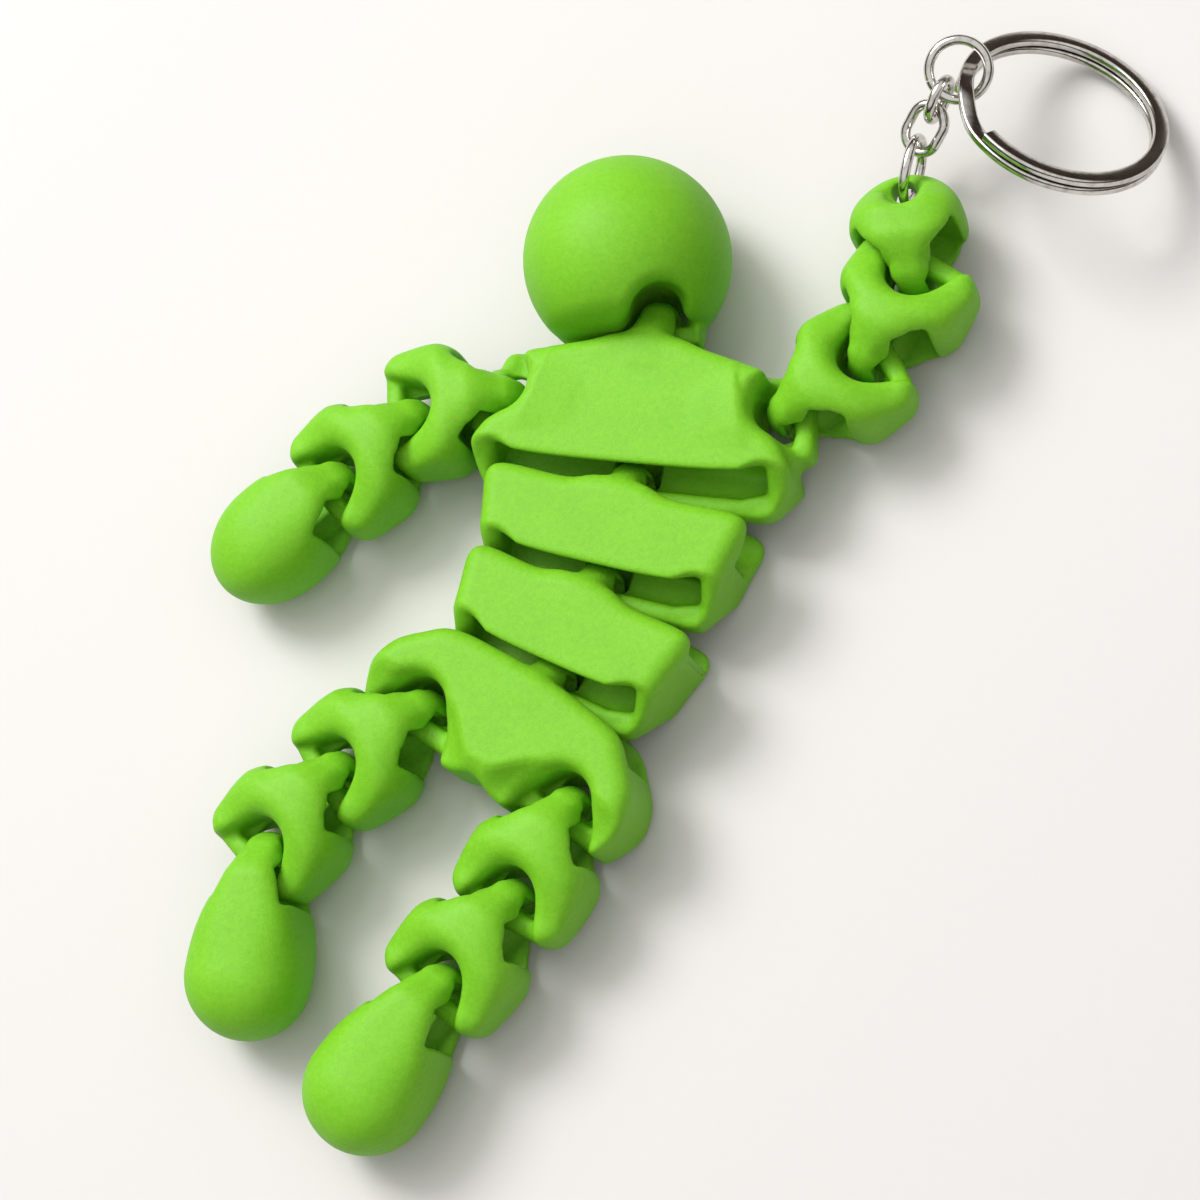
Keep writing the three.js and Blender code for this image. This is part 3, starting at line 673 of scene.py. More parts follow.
@dataclass
class TorsoPlate(GreenPiece):
    """Flat torso piece with soft edges and a loop at its top."""

    half_width: float = 18.0
    edge_round: float = 2.2
    neck_length: float = 5.4
    neck_end_half_width: float = 5.6
    neck_flare_start: float = 1.0
    neck_below_face: float = 0.3
    neck_squareness: float = 2.5
    neck_blend: float = 0.8
    lip_length: float = 4.0
    lip_thicker: float = 0.2
    leg_lip: float = 0.8
    leg_blend: float = 5.5
    thin_power: float = 1.8
    thin_slope: float = 0.6
    thin_round: float = 0.9
    slot_leg_width: float = 1.5
    web_start: float = 2.8
    bar_inset: float = 0.4
    bar_fillet: float = 4.0

    def outline(self) -> Outline:
        """Half of the plate's outline, from its top middle to its bottom middle."""
        raise NotImplementedError

    def plate(self, x: Array, y: Array, z: Array) -> Array:
        """Distance to the plate and its neck."""
        side = outline_distance(x, y, rounded_loop(self.outline())) + self.edge_round
        lid = np.abs(z) - FIT.half_thick + self.edge_round
        outside = np.hypot(np.maximum(side, 0), np.maximum(lid, 0))
        plate = outside + np.minimum(np.maximum(side, lid), 0) - self.edge_round
        flare = ramp((y - self.neck_flare_start) / (self.neck_length - self.neck_flare_start))
        width = mix(FIT.neck_width(y), self.neck_end_half_width, flare)
        thick = np.minimum(FIT.neck_thick(y), FIT.half_thick - self.neck_below_face)
        neck = oval(x, z, width, thick, self.neck_squareness)
        neck = np.maximum(neck, np.maximum(-FIT.strand_radius - y, y - self.neck_length))
        return round_min(plate, neck, self.neck_blend)

    def thinned(self, body: Array, legs: Array, past: Array, z: Array, end_half_thick: float) -> Array:
        """The body thinned towards its end, where legs is 1 on its legs and 0 between them."""
        later = past - mix(self.lip_length, self.leg_lip, legs)
        share = np.clip((later + FIT.taper_reach) / (2 * FIT.taper_reach), 0, 1)
        limit = mix(end_half_thick, FIT.half_thick + FIT.clearance, (1 - share) ** self.thin_power)
        return round_max(body, (np.abs(z) - limit) * self.thin_slope, self.thin_round)

    def slotted(self, x: Array, y: Array, z: Array, pitch: float) -> Array:
        """Distance to the plate with the wide slot and bar that hold the next piece."""
        inner = self.half_width - self.edge_round
        slot_end = inner - self.slot_leg_width
        legs = ramp((np.abs(x) - slot_end + self.leg_blend) / self.leg_blend)
        end_half_thick = FIT.bar_half_thick + self.lip_thicker
        plate = self.thinned(self.plate(x, y, z), legs, y - pitch, z, end_half_thick)
        reach = inner - self.bar_inset
        socket = Socket(WideSlot(slot_end), pitch, reach, reach - self.bar_fillet, web_start=self.web_start)
        return socket.carve(plate, x, y, z)


@dataclass
class Chest(TorsoPlate):
    """Chest: neck loop, two shoulder sockets and the first wide slot."""

    length: float = 19.6
    half_width: float = 19.8
    neck_length: float = 8.0
    neck_end_half_width: float = 4.4
    neck_to_shoulder: float = 11.4
    shoulder_half_span: float = 15.9
    shoulder_up_deg: float = 12.0
    shoulder_blend: float = 1.6
    ring_half_width: float = 5.8
    ring_squareness: float = 3.0
    ring_round: float = 2.2
    root_start: float = 9.0
    root_reach: float = 6.0
    root_narrower: float = 2.0
    root_half_thick: float = 5.4
    tip_narrower: float = 0.1
    tip_thinner: float = 0.5
    upper_leg_half_thick: float = 2.8
    upper_leg_drop: float = 2.8
    upper_leg_start: float = 4.0
    upper_leg_reach: float = 3.0
    upper_leg_side: float = 1.0
    upper_leg_blend: float = 2.0
    bar_past_side: float = 0.4
    bar_straight: float = 2.4
    cut_past: float = 9.0
    cut_across: float = 12.0

    def outline(self) -> Outline:
        """Half of the chest's outline."""
        wide, shoulder, bottom = self.half_width, self.neck_to_shoulder, self.length + FIT.bar_end
        top = [(0, 3.6), (3.5, 4), (7, 5.2), (11.6, 6.4), (14.3, 7.4)]
        side = [(14.2, shoulder - 1.4), (15.8, shoulder + 1.9), (18, shoulder + 5)]
        end = [(wide - 0.8, self.length - 0.8), (wide - 2, bottom - 1.6), (wide - 4.2, bottom), (0, bottom)]
        return top + side + end

    def shoulder_socket(self, side: Side) -> Socket:
        """The socket of one shoulder."""
        return Socket(
            SHOULDER_ARCH,
            self.neck_to_shoulder,
            self.ring_half_width + self.bar_past_side,
            self.bar_straight,
            x=side.value * self.shoulder_half_span,
            turn_deg=-side.value * (90 + self.shoulder_up_deg),
        )

    def shoulder_ring(self, across: Array, past: Array, z: Array, side: Side) -> Array:
        """Distance to one shoulder before its socket is cut, at places in the socket's frame."""
        wide = self.ring_half_width
        root = np.clip((past + self.root_start) / self.root_reach, 0, 1)
        tip = FIT.leg_end(past)
        width = mix(wide - self.root_narrower, wide, root) * (1 - self.tip_narrower * tip**3)
        thick = np.minimum(mix(self.root_half_thick, FIT.half_thick, root), FIT.leg_thick(past))
        upper = ramp((side.value * across - self.upper_leg_side) / self.upper_leg_blend)
        upper = upper * ramp((past + self.upper_leg_start) / self.upper_leg_reach)
        thick = mix(thick, np.minimum(thick, self.upper_leg_half_thick), upper)
        thick = thick * np.sqrt(1 - self.tip_thinner * tip**4)
        ring = oval(across, z + self.upper_leg_drop * upper, width, thick, self.ring_squareness)
        return round_max(ring, np.maximum(past - FIT.leg_tip, -self.root_start - past), self.ring_round)

    def body(self, x: Array, y: Array, z: Array) -> Array:
        """Distance to the chest."""
        chest = self.slotted(x, y, z, self.length)
        sockets = {side: self.shoulder_socket(side) for side in Side}
        for side, socket in sockets.items():
            ring = self.shoulder_ring(*socket.local(x, y), z, side)
            chest = round_min(chest, ring, self.shoulder_blend)
        for socket in sockets.values():
            across, past = socket.local(x, y)
            near = (past < self.cut_past) & (np.abs(across) < self.cut_across)
            chest = np.where(near, socket.carve(chest, x, y, z), chest)
        return round_max(chest, -CHEST_ROOM.distance(x, y, z), FIT.fillet)


@dataclass
class WaistLink(TorsoPlate):
    """Wide link of the waist: loop on top, slot and bar below."""

    pitch: float = 12.2
    half_width: float = 15.9
    neighbour_half_width: float = 17.8

    def outline(self) -> Outline:
        """Half of the link's outline."""
        wide, bottom = self.half_width, self.pitch + FIT.bar_end
        top = [(0, 1.7), (3, 1.9), (6, 2.8), (wide - 1, 3.1), (wide, 4.3)]
        end = [(wide - 0.6, self.pitch - 4), (wide - 2.4, bottom - 1.6), (wide - 4.2, bottom), (0, bottom)]
        return top + end

    def body(self, x: Array, y: Array, z: Array) -> Array:
        """Distance to the link."""
        room = waist_room(self.neighbour_half_width).distance(x, y, z)
        return round_max(self.slotted(x, y, z, self.pitch), -room, FIT.fillet)


@dataclass
class Pelvis(TorsoPlate):
    """Pelvis: loop on top and two hip sockets."""

    hip_half_span: float = 10.4
    waist_to_hip: float = 11.1
    neighbour_half_width: float = 14.4
    crotch_half_width: float = 0.5
    hip_blend: float = 6.0
    hip_lip: float = 1.0
    leg_lip: float = 0.0
    bar_half_span: float = 7.8
    bar_straight: float = 3.2

    def outline(self) -> Outline:
        """Half of the pelvis's outline."""
        wide, hip, bottom = self.half_width, self.hip_half_span, self.waist_to_hip + FIT.bar_end
        top = [(0, 1.6), (5, 1.8), (12, 2.8), (14.6, 4.8), (wide - 1, 7.4), (wide, self.waist_to_hip)]
        side = [(wide - 0.8, bottom - 1), (wide - 2.8, bottom + 0.9), (hip, bottom + 1)]
        end = [(hip - 4.4, bottom + 1.2), (2.8, bottom + 0.9), (0, bottom)]
        return top + side + end

    def body(self, x: Array, y: Array, z: Array) -> Array:
        """Distance to the pelvis."""
        hips = ramp((np.abs(x) - self.crotch_half_width) / self.hip_blend)
        past = y - self.waist_to_hip - self.hip_lip
        pelvis = self.thinned(self.plate(x, y, z), hips, past, z, FIT.leg_half_thick)
        for side in Side:
            place = side.value * self.hip_half_span
            socket = Socket(HIP_ARCH, self.waist_to_hip, self.bar_half_span, self.bar_straight, x=place)
            pelvis = socket.carve(pelvis, x, y, z)
        room = waist_room(self.neighbour_half_width).distance(x, y, z)
        return round_max(pelvis, -room, FIT.fillet)


@dataclass
class Head(GreenPiece):
    """Ball head with a socket at its lower edge, thinned where it passes behind the chest's front."""

    radius: float = 12.2
    to_joint: float = 6.2
    offset: float = -3.9
    rise: float = 2.6
    bar_reach: float = 4.8
    bar_straight: float = 3.0
    edge_half_thick: float = 2.1
    edge_round: float = 0.6
    thin_end: float = -3.4
    thin_end_right: float = -2.2
    thin_turn_start: float = -1.0
    thin_turn_reach: float = 3.0
    thin_round: float = 1.8
    lobe_round: float = 0.8
    lobe_blend: float = 0.4
    end_round: float = 1.0
    mouth_lean: float = 0.3
    mouth_lean_start: float = 3.2

    def body(self, x: Array, y: Array, z: Array) -> Array:
        """Distance to the head."""
        ball = np.sqrt((x - self.offset) ** 2 + (y - self.to_joint) ** 2 + (z - self.rise) ** 2) - self.radius
        turn = ramp((x - self.thin_turn_start) / self.thin_turn_reach)
        thin_end = mix(self.thin_end, self.thin_end_right, turn)
        lid = np.abs(z) - self.edge_half_thick
        head = round_max(ball, round_min(thin_end - y, lid, self.edge_round), self.thin_round)
        lobe = round_max(np.maximum(np.abs(x) - self.bar_reach, y), lid, self.lobe_round)
        head = round_max(round_min(head, lobe, self.lobe_blend), -FIT.leg_tip - y, self.end_round)
        lean = self.mouth_lean * np.maximum(z - self.mouth_lean_start, 0)
        socket = Socket(HEAD_ARCH, 0, self.radius, self.bar_straight, turn_deg=180)
        return socket.carve(head, x - lean, y + lean, z)


class Skeleton:
    """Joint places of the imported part."""

    def __init__(self, joints: list[dict[str, Any]]) -> None:
        """Read the joints from the frame."""
        self.places = {joint["child"]: Vector(joint["pos_m"]) / MM for joint in joints}

    def at(self, body: str) -> Vector:
        """Where a body's joint is, in millimetres."""
        return self.places[body].copy()

    @staticmethod
    def heading(start: Vector, end: Vector) -> float:
        """Direction from one point to another, seen from above."""
        return math.atan2(end.y - start.y, end.x - start.x)

    def towards(self, start: str, end: str) -> tuple[Vector, float]:
        """A body's joint and the heading to another body's joint."""
        return self.at(start), self.heading(self.at(start), self.at(end))

    def to_middle(self, body: str) -> tuple[Vector, float]:
        """A body's joint and the heading to the middle of its own CAD solid."""
        return self.at(body), self.heading(self.at(body), solid_middle(body) / MM)


def solid_middle(node: str) -> Vector:
    """Volume middle of a CAD node, in metres."""
    mesh = bpy.data.objects[node].data
    mesh.calc_loop_triangles()
    corners = np.array([[mesh.vertices[v].co for v in t.vertices] for t in mesh.loop_triangles])
    volumes = np.einsum("ij,ij->i", corners[:, 0], np.cross(corners[:, 1], corners[:, 2]))
    return Vector((corners.sum(1) / 4 * volumes[:, None]).sum(0) / volumes.sum())


@dataclass
class Torso:
    """Head, chest, the two waist links and the pelvis."""

    skeleton: Skeleton
    head_heading_deg: float = 90.0

    def build(self, finish: bpy.types.Material) -> list[bpy.types.Object]:
        """Build the torso's pieces from top to bottom."""
        bones = self.skeleton
        neck, chest_heading = bones.towards("head", "waist_upper")
        hips = (bones.at("left_thigh") + bones.at("right_thigh")) / 2
        pelvis_place = bones.at("pelvis")
        pieces: list[GreenPiece] = [
            Head("head", neck, math.radians(self.head_heading_deg)),
            Chest("chest", neck, chest_heading),
            WaistLink("waist_upper", *bones.towards("waist_upper", "waist_lower")),
            WaistLink(
                "waist_lower",
                *bones.towards("waist_lower", "pelvis"),
                half_width=14.4,
                neighbour_half_width=13.9,
            ),
            Pelvis("pelvis", pelvis_place, bones.heading(pelvis_place, hips)),
        ]
        return [piece.build(finish) for piece in pieces]


@dataclass
class Limb:
    """An arm or leg of two links and an end."""

    skeleton: Skeleton
    names: tuple[str, str, str]
    pitch: float = 12.3
    end: type[EndLobe] = EndLobe
    end_sizes: dict[str, float] = field(default_factory=dict)

    def build(self, finish: bpy.types.Material) -> list[bpy.types.Object]:
        """Build the limb's pieces from the body outwards."""
        upper, lower, last = self.names
        pieces: list[GreenPiece] = [
            LimbLink(upper, *self.skeleton.towards(upper, lower), pitch=self.pitch),
            LimbLink(lower, *self.skeleton.towards(lower, last), pitch=self.pitch),
            self.end(last, *self.skeleton.to_middle(last), **self.end_sizes),
        ]
        return [piece.build(finish) for piece in pieces]


# Node trees


def math_method(operation: str, reflected: bool = False) -> Callable[[Any, Any], Any]:
    """A method that adds a Math node, with its two values swapped where it is reflected."""

    def method(self: Signal, other: Any) -> Signal:
        """Add the node."""
        first, second = (other, self) if reflected else (self, other)
        return self.kit.math(operation, first, second)

    return method


class Signal:
    """A node's output, on which Python's operators add Math nodes."""

    def __init__(self, kit: NodeKit, socket: bpy.types.NodeSocket) -> None:
        """Wrap a socket of a tree."""
        self.kit = kit
        self.socket = socket

    __add__ = math_method("ADD")
    __radd__ = math_method("ADD", reflected=True)
    __sub__ = math_method("SUBTRACT")
    __rsub__ = math_method("SUBTRACT", reflected=True)
    __mul__ = math_method("MULTIPLY")
    __rmul__ = math_method("MULTIPLY", reflected=True)


class NodeKit:
    """Builds a node tree."""

    def __init__(self, tree: bpy.types.NodeTree) -> None:
        """Start from an empty tree."""
        self.tree = tree
        tree.nodes.clear()

    def node(
        self,
        kind: str,
        settings: dict[str, Any] | None = None,
        inputs: dict[str | int, Any] | None = None,
        output: str | int = 0,
    ) -> Signal:
        """Add a node.

        Args:
            kind: The node's type.
            settings: Its properties, set first. A ramp's stops are under "stops".
            inputs: Values or signals, by the socket's name or place.
            output: Which output is wanted.

        Returns:
            That output.
        """
        made = self.tree.nodes.new(kind)
        for name, value in (settings or {}).items():
            if name == "stops":
                self._set_stops(made.color_ramp, value)
            else:
                setattr(made, name, value)
        for key, value in (inputs or {}).items():
            if isinstance(value, Signal):
                self.tree.links.new(value.socket, made.inputs[key])
            else:
                made.inputs[key].default_value = value
        return Signal(self, made.outputs[output]) if made.outputs else Signal(self, made.inputs[0])

    @staticmethod
    def _set_stops(color_ramp: bpy.types.ColorRamp, stops: list[tuple[float, float]]) -> None:
        """Give a ramp its grey stops, as place and value."""
        while len(color_ramp.elements) < len(stops):
            color_ramp.elements.new(1.0)
        for element, (place, value) in zip(color_ramp.elements, stops):
            element.position = place
            element.color = (value, value, value, 1)

    def math(self, operation: str, *values: Any) -> Signal:
        """Math of one or two values."""
        return self.node("ShaderNodeMath", {"operation": operation}, dict(enumerate(values)))

    def noise(self, place: Signal, scale: float, detail: float = 2.0, roughness: float = 0.5) -> Signal:
        """Noise from 0 to 1 at a scale per metre."""
        values = {"Vector": place, "Scale": scale, "Detail": detail, "Roughness": roughness}
        return self.node("ShaderNodeTexNoise", {"noise_dimensions": "3D"}, values, "Fac")

    def tint(self, share: Signal, first: Triple, second: Triple) -> Signal:
        """Colour between two colours."""
        values = {0: share, 6: (*first, 1), 7: (*second, 1)}
        return self.node("ShaderNodeMix", {"data_type": "RGBA"}, values, 2)

    def bump(self, height: Signal, strength: float, distance: float) -> Signal:
        """Normal of a surface with a fine relief."""
        values = {"Strength": strength, "Distance": distance, "Height": height}
        return self.node("ShaderNodeBump", None, values)

    def surface(self, values: dict[str, Any]) -> None:
        """Send a Principled shader out as the material's surface."""
        shader = self.node("ShaderNodeBsdfPrincipled", None, values)
        self.node("ShaderNodeOutputMaterial", None, {"Surface": shader})


def new_material(name: str) -> tuple[bpy.types.Material, NodeKit, Signal]:
    """An empty node material, its kit and its Object coordinates."""
    material = bpy.data.materials.new(name)
    material.use_nodes = True
    kit = NodeKit(material.node_tree)
    return material, kit, kit.node("ShaderNodeTexCoord", output="Object")


@dataclass(frozen=True)
class GreenPlastic:
    """Matte lime-green plastic with a fine grain and faint mottling."""

    light: Triple = (0.212, 0.555, 0.022)
    deep: Triple = (0.130, 0.410, 0.009)
    roughness: float = 0.52
    roughness_spread: float = 0.14
    refraction: float = 1.47
    specular: float = 0.28
    grain_scale: float = 5200.0
    grain_tint: float = 0.9
    grain_relief: float = 0.7
    mottle_scale: float = 1500.0
    mottle_tint: float = 0.8
    mottle_relief: float = 0.5
    cloud_scale: float = 160.0
    cloud_tint: float = 0.3
    tint_shift: float = 0.5
    relief_strength: float = 0.5
    relief_height: float = 0.0001

    def material(self) -> bpy.types.Material:
        """Build the finish."""
        material, kit, place = new_material("lime_plastic")
        grain = kit.noise(place, self.grain_scale, 3, 0.6)
        mottle = kit.noise(place, self.mottle_scale, 2, 0.6)
        cloud = kit.noise(place, self.cloud_scale, 1)
        share = grain * self.grain_tint + mottle * self.mottle_tint
        share = share + cloud * self.cloud_tint - self.tint_shift
        height = grain * self.grain_relief + mottle * self.mottle_relief
        least_rough = self.roughness - self.roughness_spread / 2
        kit.surface(
            {
                "Base Color": kit.tint(share, self.deep, self.light),
                "Roughness": mottle * self.roughness_spread + least_rough,
                "IOR": self.refraction,
                "Specular IOR Level": self.specular,
                "Normal": kit.bump(height, self.relief_strength, self.relief_height),
            }
        )
        return material


@dataclass(frozen=True)
class BrightMetal:
    """Nickel-plated wire with light handling marks."""

    light: Triple = (0.66, 0.64, 0.61)
    dull: Triple = (0.42, 0.39, 0.35)
    least_rough: float = 0.02
    mark_scale: float = 900.0
    mark_rough: float = 0.12
    mark_relief: float = 0.6
    mark_start: float = 0.45
    mark_end: float = 0.72
    fine_scale: float = 4200.0
    fine_rough: float = 0.10
    fine_relief: float = 0.4
    relief_strength: float = 0.25
    relief_height: float = 0.00004

    def material(self) -> bpy.types.Material:
        """Build the finish."""
        material, kit, place = new_material("nickel_plate")
        marks = kit.noise(place, self.mark_scale, 4, 0.65)
        fine = kit.noise(place, self.fine_scale, 2, 0.5)
        stops = [(self.mark_start, 0.0), (self.mark_end, 1.0)]
        worn = kit.node("ShaderNodeValToRGB", {"stops": stops}, {"Fac": marks})
        height = marks * self.mark_relief + fine * self.fine_relief
        kit.surface(
            {
                "Base Color": kit.tint(worn, self.light, self.dull),
                "Metallic": 1.0,
                "Roughness": fine * self.fine_rough + marks * self.mark_rough + self.least_rough,
                "Normal": kit.bump(height, self.relief_strength, self.relief_height),
            }
        )
        return material


@dataclass(frozen=True)
class PaleTable:
    """Near-white matte table top."""

    colour: Triple = (0.635, 0.612, 0.597)
    darker_share: float = 0.985
    roughness: float = 0.7
    grain_scale: float = 700.0

    def material(self) -> bpy.types.Material:
        """Build the finish."""
        material, kit, place = new_material("pale_table")
        darker = tuple(self.darker_share * channel for channel in self.colour)
        colour = kit.tint(kit.noise(place, self.grain_scale), self.colour, darker)
        kit.surface({"Base Color": colour, "Roughness": self.roughness})
        return material


# Metal pieces, grown by node trees


class GrowthTree:
    """A geometry node tree with named inputs that ends in realised geometry with a material."""

    def __init__(self, name: str, inputs: dict[str, float | int]) -> None:
        """Make the tree and its named inputs."""
        self.tree = bpy.data.node_groups.new(name, "GeometryNodeTree")
        self.kit = NodeKit(self.tree)
        face = self.tree.interface
        face.new_socket("Geometry", in_out="INPUT", socket_type="NodeSocketGeometry")
        for label, value in inputs.items():
            kind = "NodeSocketInt" if isinstance(value, int) else "NodeSocketFloat"
            face.new_socket(label, in_out="INPUT", socket_type=kind).default_value = value
        face.new_socket("Finish", in_out="INPUT", socket_type="NodeSocketMaterial")
        face.new_socket("Geometry", in_out="OUTPUT", socket_type="NodeSocketGeometry")
        self.entry = self.tree.nodes.new("NodeGroupInput")

    def value(self, label: str) -> Signal:
        """One of the named inputs."""
        return Signal(self.kit, self.entry.outputs[label])

    def finish(self, geometry: Signal) -> None:
        """Realise the geometry, give it its material and send it out."""
        real = self.kit.node("GeometryNodeRealizeInstances", None, {0: geometry})
        values = {"Geometry": real, "Material": self.value("Finish")}
        self.kit.node("NodeGroupOutput", None, {0: self.kit.node("GeometryNodeSetMaterial", None, values)})

    def sweep(self, path: Signal, profile: Signal) -> None:
        """Finish with a capped tube: the profile moved along the path."""
        values = {"Curve": path, "Profile Curve": profile, "Fill Caps": True}
        self.finish(self.kit.node("GeometryNodeCurveToMesh", None, values))

    def grow(self, name: str, place: Matrix, values: dict[str, Any]) -> bpy.types.Mesh:
        """Run the tree once.

        Args:
            name: Name of the mesh.
            place: Where the result goes in the row frame.
            values: The named inputs that differ from their defaults.

        Returns:
            A plain mesh in the row frame, with faces that point outwards.
        """
        seed = linked(name, bpy.data.meshes.new(name))
        modifier = seed.modifiers.new("grow", "NODES")
        modifier.node_group = self.tree
        for item in self.tree.interface.items_tree:
            if item.in_out == "INPUT" and item.name in values:
                modifier[item.identifier] = values[item.name]
        graph = bpy.context.evaluated_depsgraph_get()
        mesh = bpy.data.meshes.new_from_object(seed.evaluated_get(graph), depsgraph=graph)
        seed.modifiers.remove(modifier)
        bpy.data.objects.remove(seed)
        mesh.transform(place)
        return mesh


def wire_link_tree() -> GrowthTree:
    """A link bent from round wire, with a fine seam where its ends meet."""
    sizes: dict[str, float | int] = {
        "Radius": 0.0021,
        "Straight": 0.0016,
        "Wire Radius": 0.0006,
        "Seam": 0.02,
        "Seam Place": 0.2,
        "Steps": 97,
        "Wire Steps": 20,
    }
    growth = GrowthTree("wire_link", sizes)
    kit, value = growth.kit, growth.value
    bend = {
        "Resolution": value("Steps"),
        "Radius": value("Radius"),
        "Start Angle": value("Seam Place"),
        "Sweep Angle": math.tau - value("Seam"),
    }
    arc = kit.node("GeometryNodeCurveArc", {"mode": "RADIUS"}, bend)
    place = kit.node("GeometryNodeInputPosition")
    y = kit.node("ShaderNodeSeparateXYZ", None, {0: place}, "Y")
    shift = kit.node("ShaderNodeCombineXYZ", None, {"Y": kit.math("SIGN", y) * value("Straight") * 0.5})
    path = kit.node("GeometryNodeSetPosition", None, {"Geometry": arc, "Offset": shift})
    section = {"Resolution": value("Wire Steps"), "Radius": value("Wire Radius")}
    growth.sweep(path, kit.node("GeometryNodeCurvePrimitiveCircle", {"mode": "RADIUS"}, section))
    return growth


def split_ring_tree() -> GrowthTree:
    """A split ring: two turns of flat wire with one step up just before the first turn closes."""
    sizes: dict[str, float | int] = {
        "Radius": 0.0116,
        "Band": 0.0018,
        "Wire Height": 0.001,
        "Turn Gap": 0.00025,
        "Step Start": math.radians(325),
        "Step End": math.radians(355),
        "Sweep": math.tau + math.radians(317),
        "Edge Round": 0.0003,
        "Edge Steps": 4,
        "Steps": 400,
    }
    growth = GrowthTree("split_ring", sizes)
    kit, value = growth.kit, growth.value
    line = kit.node("GeometryNodeCurvePrimitiveLine", None, {"End": (1.0, 0.0, 0.0)})
    dense = kit.node("GeometryNodeResampleCurve", None, {"Curve": line, "Count": value("Steps")})
    angle = kit.node("GeometryNodeSplineParameter", None, None, "Factor") * value("Sweep")
    climb = kit.node(
        "ShaderNodeMapRange",
        {"interpolation_type": "SMOOTHSTEP"},
        {"Value": angle, "From Min": value("Step Start"), "From Max": value("Step End")},
    )
    spot = {
        "X": kit.math("COSINE", angle) * value("Radius"),
        "Y": 0 - kit.math("SINE", angle) * value("Radius"),
        "Z": (climb - 0.5) * (value("Wire Height") + value("Turn Gap")),
    }
    spots = {"Geometry": dense, "Position": kit.node("ShaderNodeCombineXYZ", None, spot)}
    path = kit.node("GeometryNodeSetPosition", None, spots)
    upright = kit.node("GeometryNodeSetCurveNormal", {"mode": "Z_UP"}, {"Curve": path})
    band = kit.node(
        "GeometryNodeCurvePrimitiveQuadrilateral",
        {"mode": "RECTANGLE"},
        {"Width": value("Band"), "Height": value("Wire Height")},
    )
    corners = {
        "Curve": band,
        "Count": value("Edge Steps"),
        "Radius": value("Edge Round"),
        "Limit Radius": True,
    }
    growth.sweep(upright, kit.node("GeometryNodeFilletCurve", {"mode": "POLY"}, corners))
    return growth


def node_points(node: str) -> Array:
    """Vertices of a CAD node, one a row, in metres."""
    return np.array([v.co for v in bpy.data.objects[node].data.vertices])


@dataclass
class Chain:
    """The short chain of wire links."""

    wire_radius: float = 0.0006
    sizes: dict[str, tuple[float, float]] = field(
        default_factory=lambda: {
            "chain_link_a": (0.00335, 0.0007),
            "chain_link_b": (0.0021, 0.0016),
            "chain_link_c": (0.0021, 0.0007),
            "chain_link_d": (0.0034, 0.0),
        }
    )

    @staticmethod
    def place(node: str) -> Matrix:
        """Where a link is, with its long axis as +Y and its flat side facing +Z."""
        points = np.unique(node_points(node).round(7), axis=0)
        centre = (points.min(0) + points.max(0)) / 2
        _, axes = np.linalg.eigh(np.cov((points - points.mean(0)).T))
        normal, long = Vector(axes[:, 0]), Vector(axes[:, 2])
        turn = Matrix((long.cross(normal), long, normal)).transposed().to_4x4()
        return Matrix.Translation(Vector(centre)) @ turn

    def build(self, finish: bpy.types.Material) -> list[bpy.types.Object]:
        """Build each link where its CAD node is."""
        growth = wire_link_tree()
        pieces = []
        for node, (radius, straight) in self.sizes.items():
            values = {"Radius": radius, "Straight": straight, "Wire Radius": self.wire_radius}
            mesh = growth.grow(node, self.place(node), values | {"Finish": finish})
            pieces.append(metal_piece(mesh, node))
        return pieces


@dataclass
class KeyRing:
    """The split ring, which leans on the chain's last link."""

    lean_deg: float = 45.0
    tilt_deg: float = 36.0
    spin_deg: float = 130.0

    def place(self, node: str) -> Matrix:
        """Where the ring is, with its axis as +Z."""
        lean = Matrix.Rotation(math.radians(self.lean_deg), 3, "Z")
        tilt = Matrix.Rotation(math.radians(self.tilt_deg), 3, "Y")
        turn = lean @ tilt @ Matrix.Rotation(math.radians(self.spin_deg), 3, "Z")
        local = node_points(node) @ np.array(turn)
        centre = turn @ Vector((local.min(0) + local.max(0)) / 2)
        return Matrix.Translation(centre) @ turn.to_4x4()

    def build(self, finish: bpy.types.Material) -> bpy.types.Object:
        """Build the ring where its CAD node is."""
        mesh = split_ring_tree().grow("key_ring", self.place("key_ring"), {"Finish": finish})
        return metal_piece(mesh, "key_ring")


def metal_piece(mesh: bpy.types.Mesh, node: str, sharp_deg: float = 50.0) -> bpy.types.Object:
    """A metal piece from its grown mesh, with edges past sharp_deg left sharp."""
    mesh.name = f"{node}_skin"
    mesh.shade_smooth()
    mesh.set_sharp_from_angle(angle=math.radians(sharp_deg))
    return placed_piece(mesh, node, Slot.METAL)


@dataclass(frozen=True)
class Lamp:
    """A round soft light that faces the figure."""

    name: str
    power: float
    size: float
    place: Triple

    def build(self, target: Vector) -> None:
        """Build the lamp, aimed at the target."""
        data = bpy.data.lights.new(self.name, "AREA")
        data.shape = "DISK"
        data.energy = self.power
        data.size = self.size
        lamp = linked(self.name, data)
        lamp.location = self.place
        lamp.rotation_euler = (target - lamp.location).to_track_quat("-Z", "Y").to_euler()


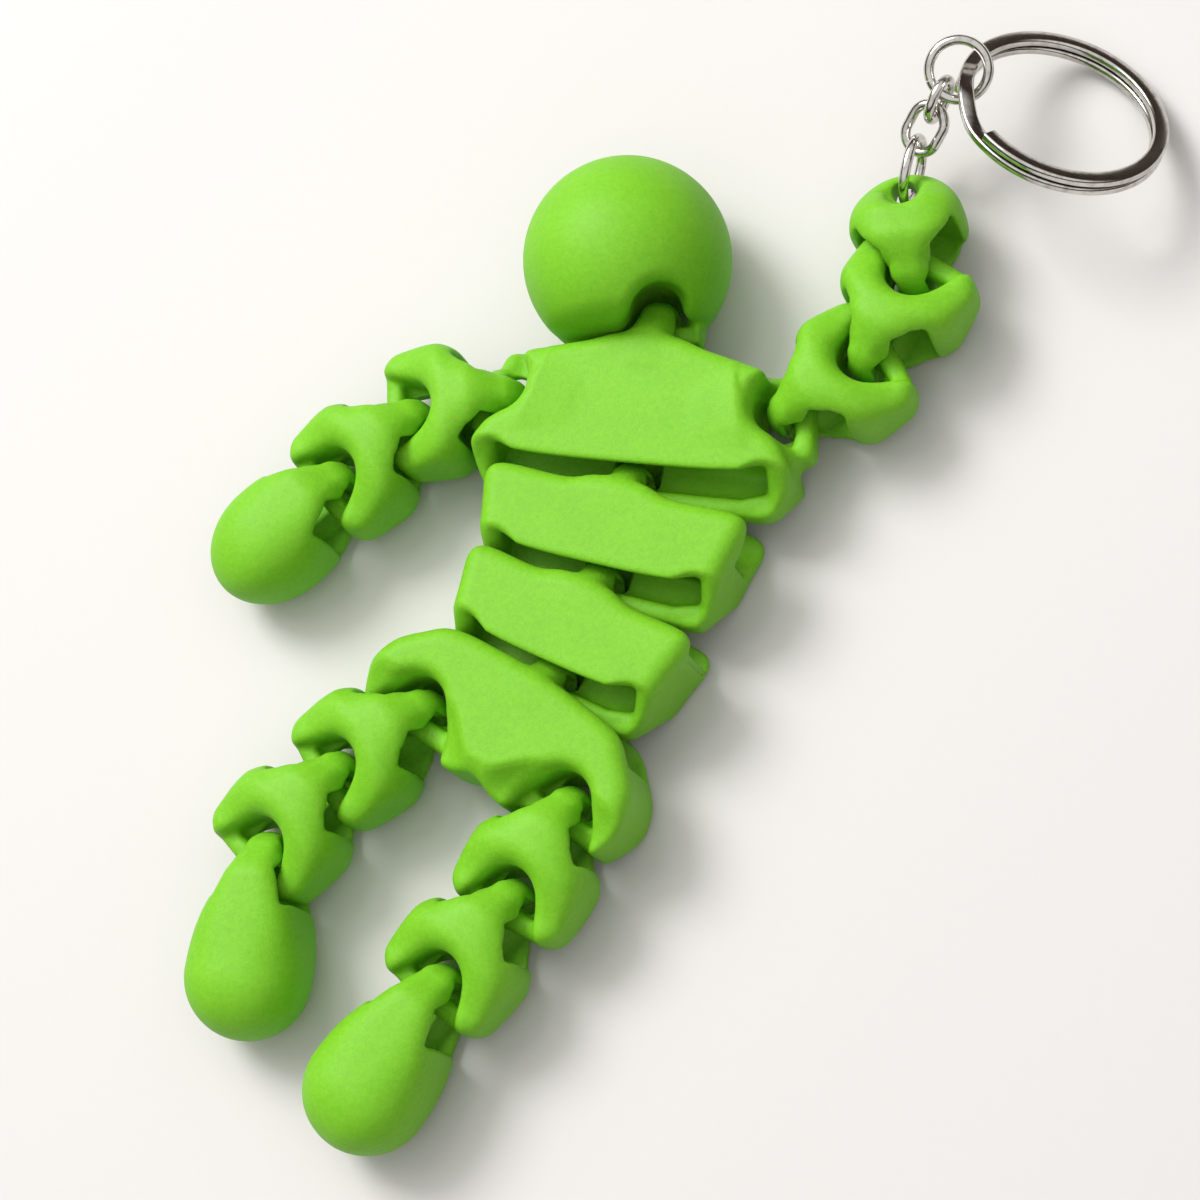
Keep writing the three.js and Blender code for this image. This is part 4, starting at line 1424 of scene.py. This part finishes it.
@dataclass
class Studio:
    """Table top, soft light and a camera that leans towards the figure's lower right."""

    view_centre: tuple[float, float] = (-0.0084, -0.0022)
    view_width: float = 0.1368
    view_level: float = 0.0075
    camera_distance: float = 0.36
    camera_clip: tuple[float, float] = (0.01, 20.0)
    tilt_deg: float = 21.0
    tilt_towards_deg: float = -45.0
    sensor: float = 36.0
    table_half: float = 3.0
    world_strength: float = 0.9
    horizon: tuple[float, float] = (0.30, 0.72)
    horizon_colour: Triple = (0.055, 0.04, 0.03)
    sky_colour: Triple = (1.0, 0.99, 0.98)
    lamps: tuple[Lamp, ...] = (
        Lamp("soft_key", 22.5, 0.8, (-0.92, 0.86, 1.40)),
        Lamp("soft_fill", 4.5, 0.9, (-0.42, 0.40, 0.75)),
    )

    def build(self) -> None:
        """Build the stage."""
        self._table()
        self._world()
        for lamp in self.lamps:
            lamp.build(Vector((*self.view_centre, 0)))
        self._camera()

    def _table(self) -> None:
        """A wide pale table top."""
        mesh = bpy.data.meshes.new("table_top")
        half = self.table_half
        corners = [(-half, -half, 0), (half, -half, 0), (half, half, 0), (-half, half, 0)]
        mesh.from_pydata(corners, [], [(0, 1, 2, 3)])
        mesh.materials.append(PaleTable().material())
        linked("table_top", mesh)

    def _world(self) -> None:
        """Pale light from above, with a dark band near the horizon that the metal mirrors."""
        world = bpy.data.worlds.new("studio")
        world.use_nodes = True
        kit = NodeKit(world.node_tree)
        direction = kit.node("ShaderNodeTexCoord", output="Generated")
        height = kit.node("ShaderNodeSeparateXYZ", None, {0: direction}, "Z")
        up = kit.node(
            "ShaderNodeMapRange",
            {"interpolation_type": "SMOOTHSTEP"},
            {"Value": height, "From Min": self.horizon[0], "From Max": self.horizon[1]},
        )
        colour = kit.tint(up, self.horizon_colour, self.sky_colour)
        light = kit.node("ShaderNodeBackground", None, {"Color": colour, "Strength": self.world_strength})
        kit.node("ShaderNodeOutputWorld", None, {"Surface": light})
        bpy.context.scene.world = world

    def _camera(self) -> None:
        """The camera looks down on the figure from its lower right, as the photograph does."""
        tilt, towards = math.radians(self.tilt_deg), math.radians(self.tilt_towards_deg)
        level = Vector((-math.sin(towards), math.cos(towards), 0))
        side = math.sin(tilt)
        back = Vector((side * math.cos(towards), side * math.sin(towards), math.cos(tilt)))
        lean = level.cross(back)
        right = math.cos(towards) * lean - math.sin(towards) * level
        up = math.sin(towards) * lean + math.cos(towards) * level
        data = bpy.data.cameras.new("camera")
        data.sensor_width = self.sensor
        data.lens = self.sensor * self.camera_distance / self.view_width
        data.clip_start, data.clip_end = self.camera_clip
        camera = linked("camera", data)
        turn = Matrix((right, up, back)).transposed().to_4x4()
        target = Vector((*self.view_centre, self.view_level))
        camera.matrix_world = Matrix.Translation(target + back * self.camera_distance) @ turn
        bpy.context.scene.camera = camera
        bpy.context.scene.view_settings.view_transform = "Standard"


def main() -> None:
    """Load the frame and build each sub-assembly."""
    logging.basicConfig(level=logging.INFO, format="%(name)s: %(message)s")
    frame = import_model()
    skeleton = Skeleton(frame["joints"])
    plastic, metal = GreenPlastic().material(), BrightMetal().material()
    Studio().build()
    Torso(skeleton).build(plastic)
    hand_sizes = {"length": 19.5, "half_width": 6.8, "middle_share": 0.55}
    limbs = [
        Limb(skeleton, ("left_upper_arm", "left_forearm", "left_hand"), pitch=11.7, end_sizes=hand_sizes),
        Limb(skeleton, ("right_upper_arm", "right_forearm", "right_hand"), pitch=11.1, end=RingHand),
        Limb(skeleton, ("left_thigh", "left_shin", "left_foot")),
        Limb(skeleton, ("right_thigh", "right_shin", "right_foot")),
    ]
    for limb in limbs:
        limb.build(plastic)
    Chain().build(metal)
    KeyRing().build(metal)


if __name__ == "__main__":
    main()
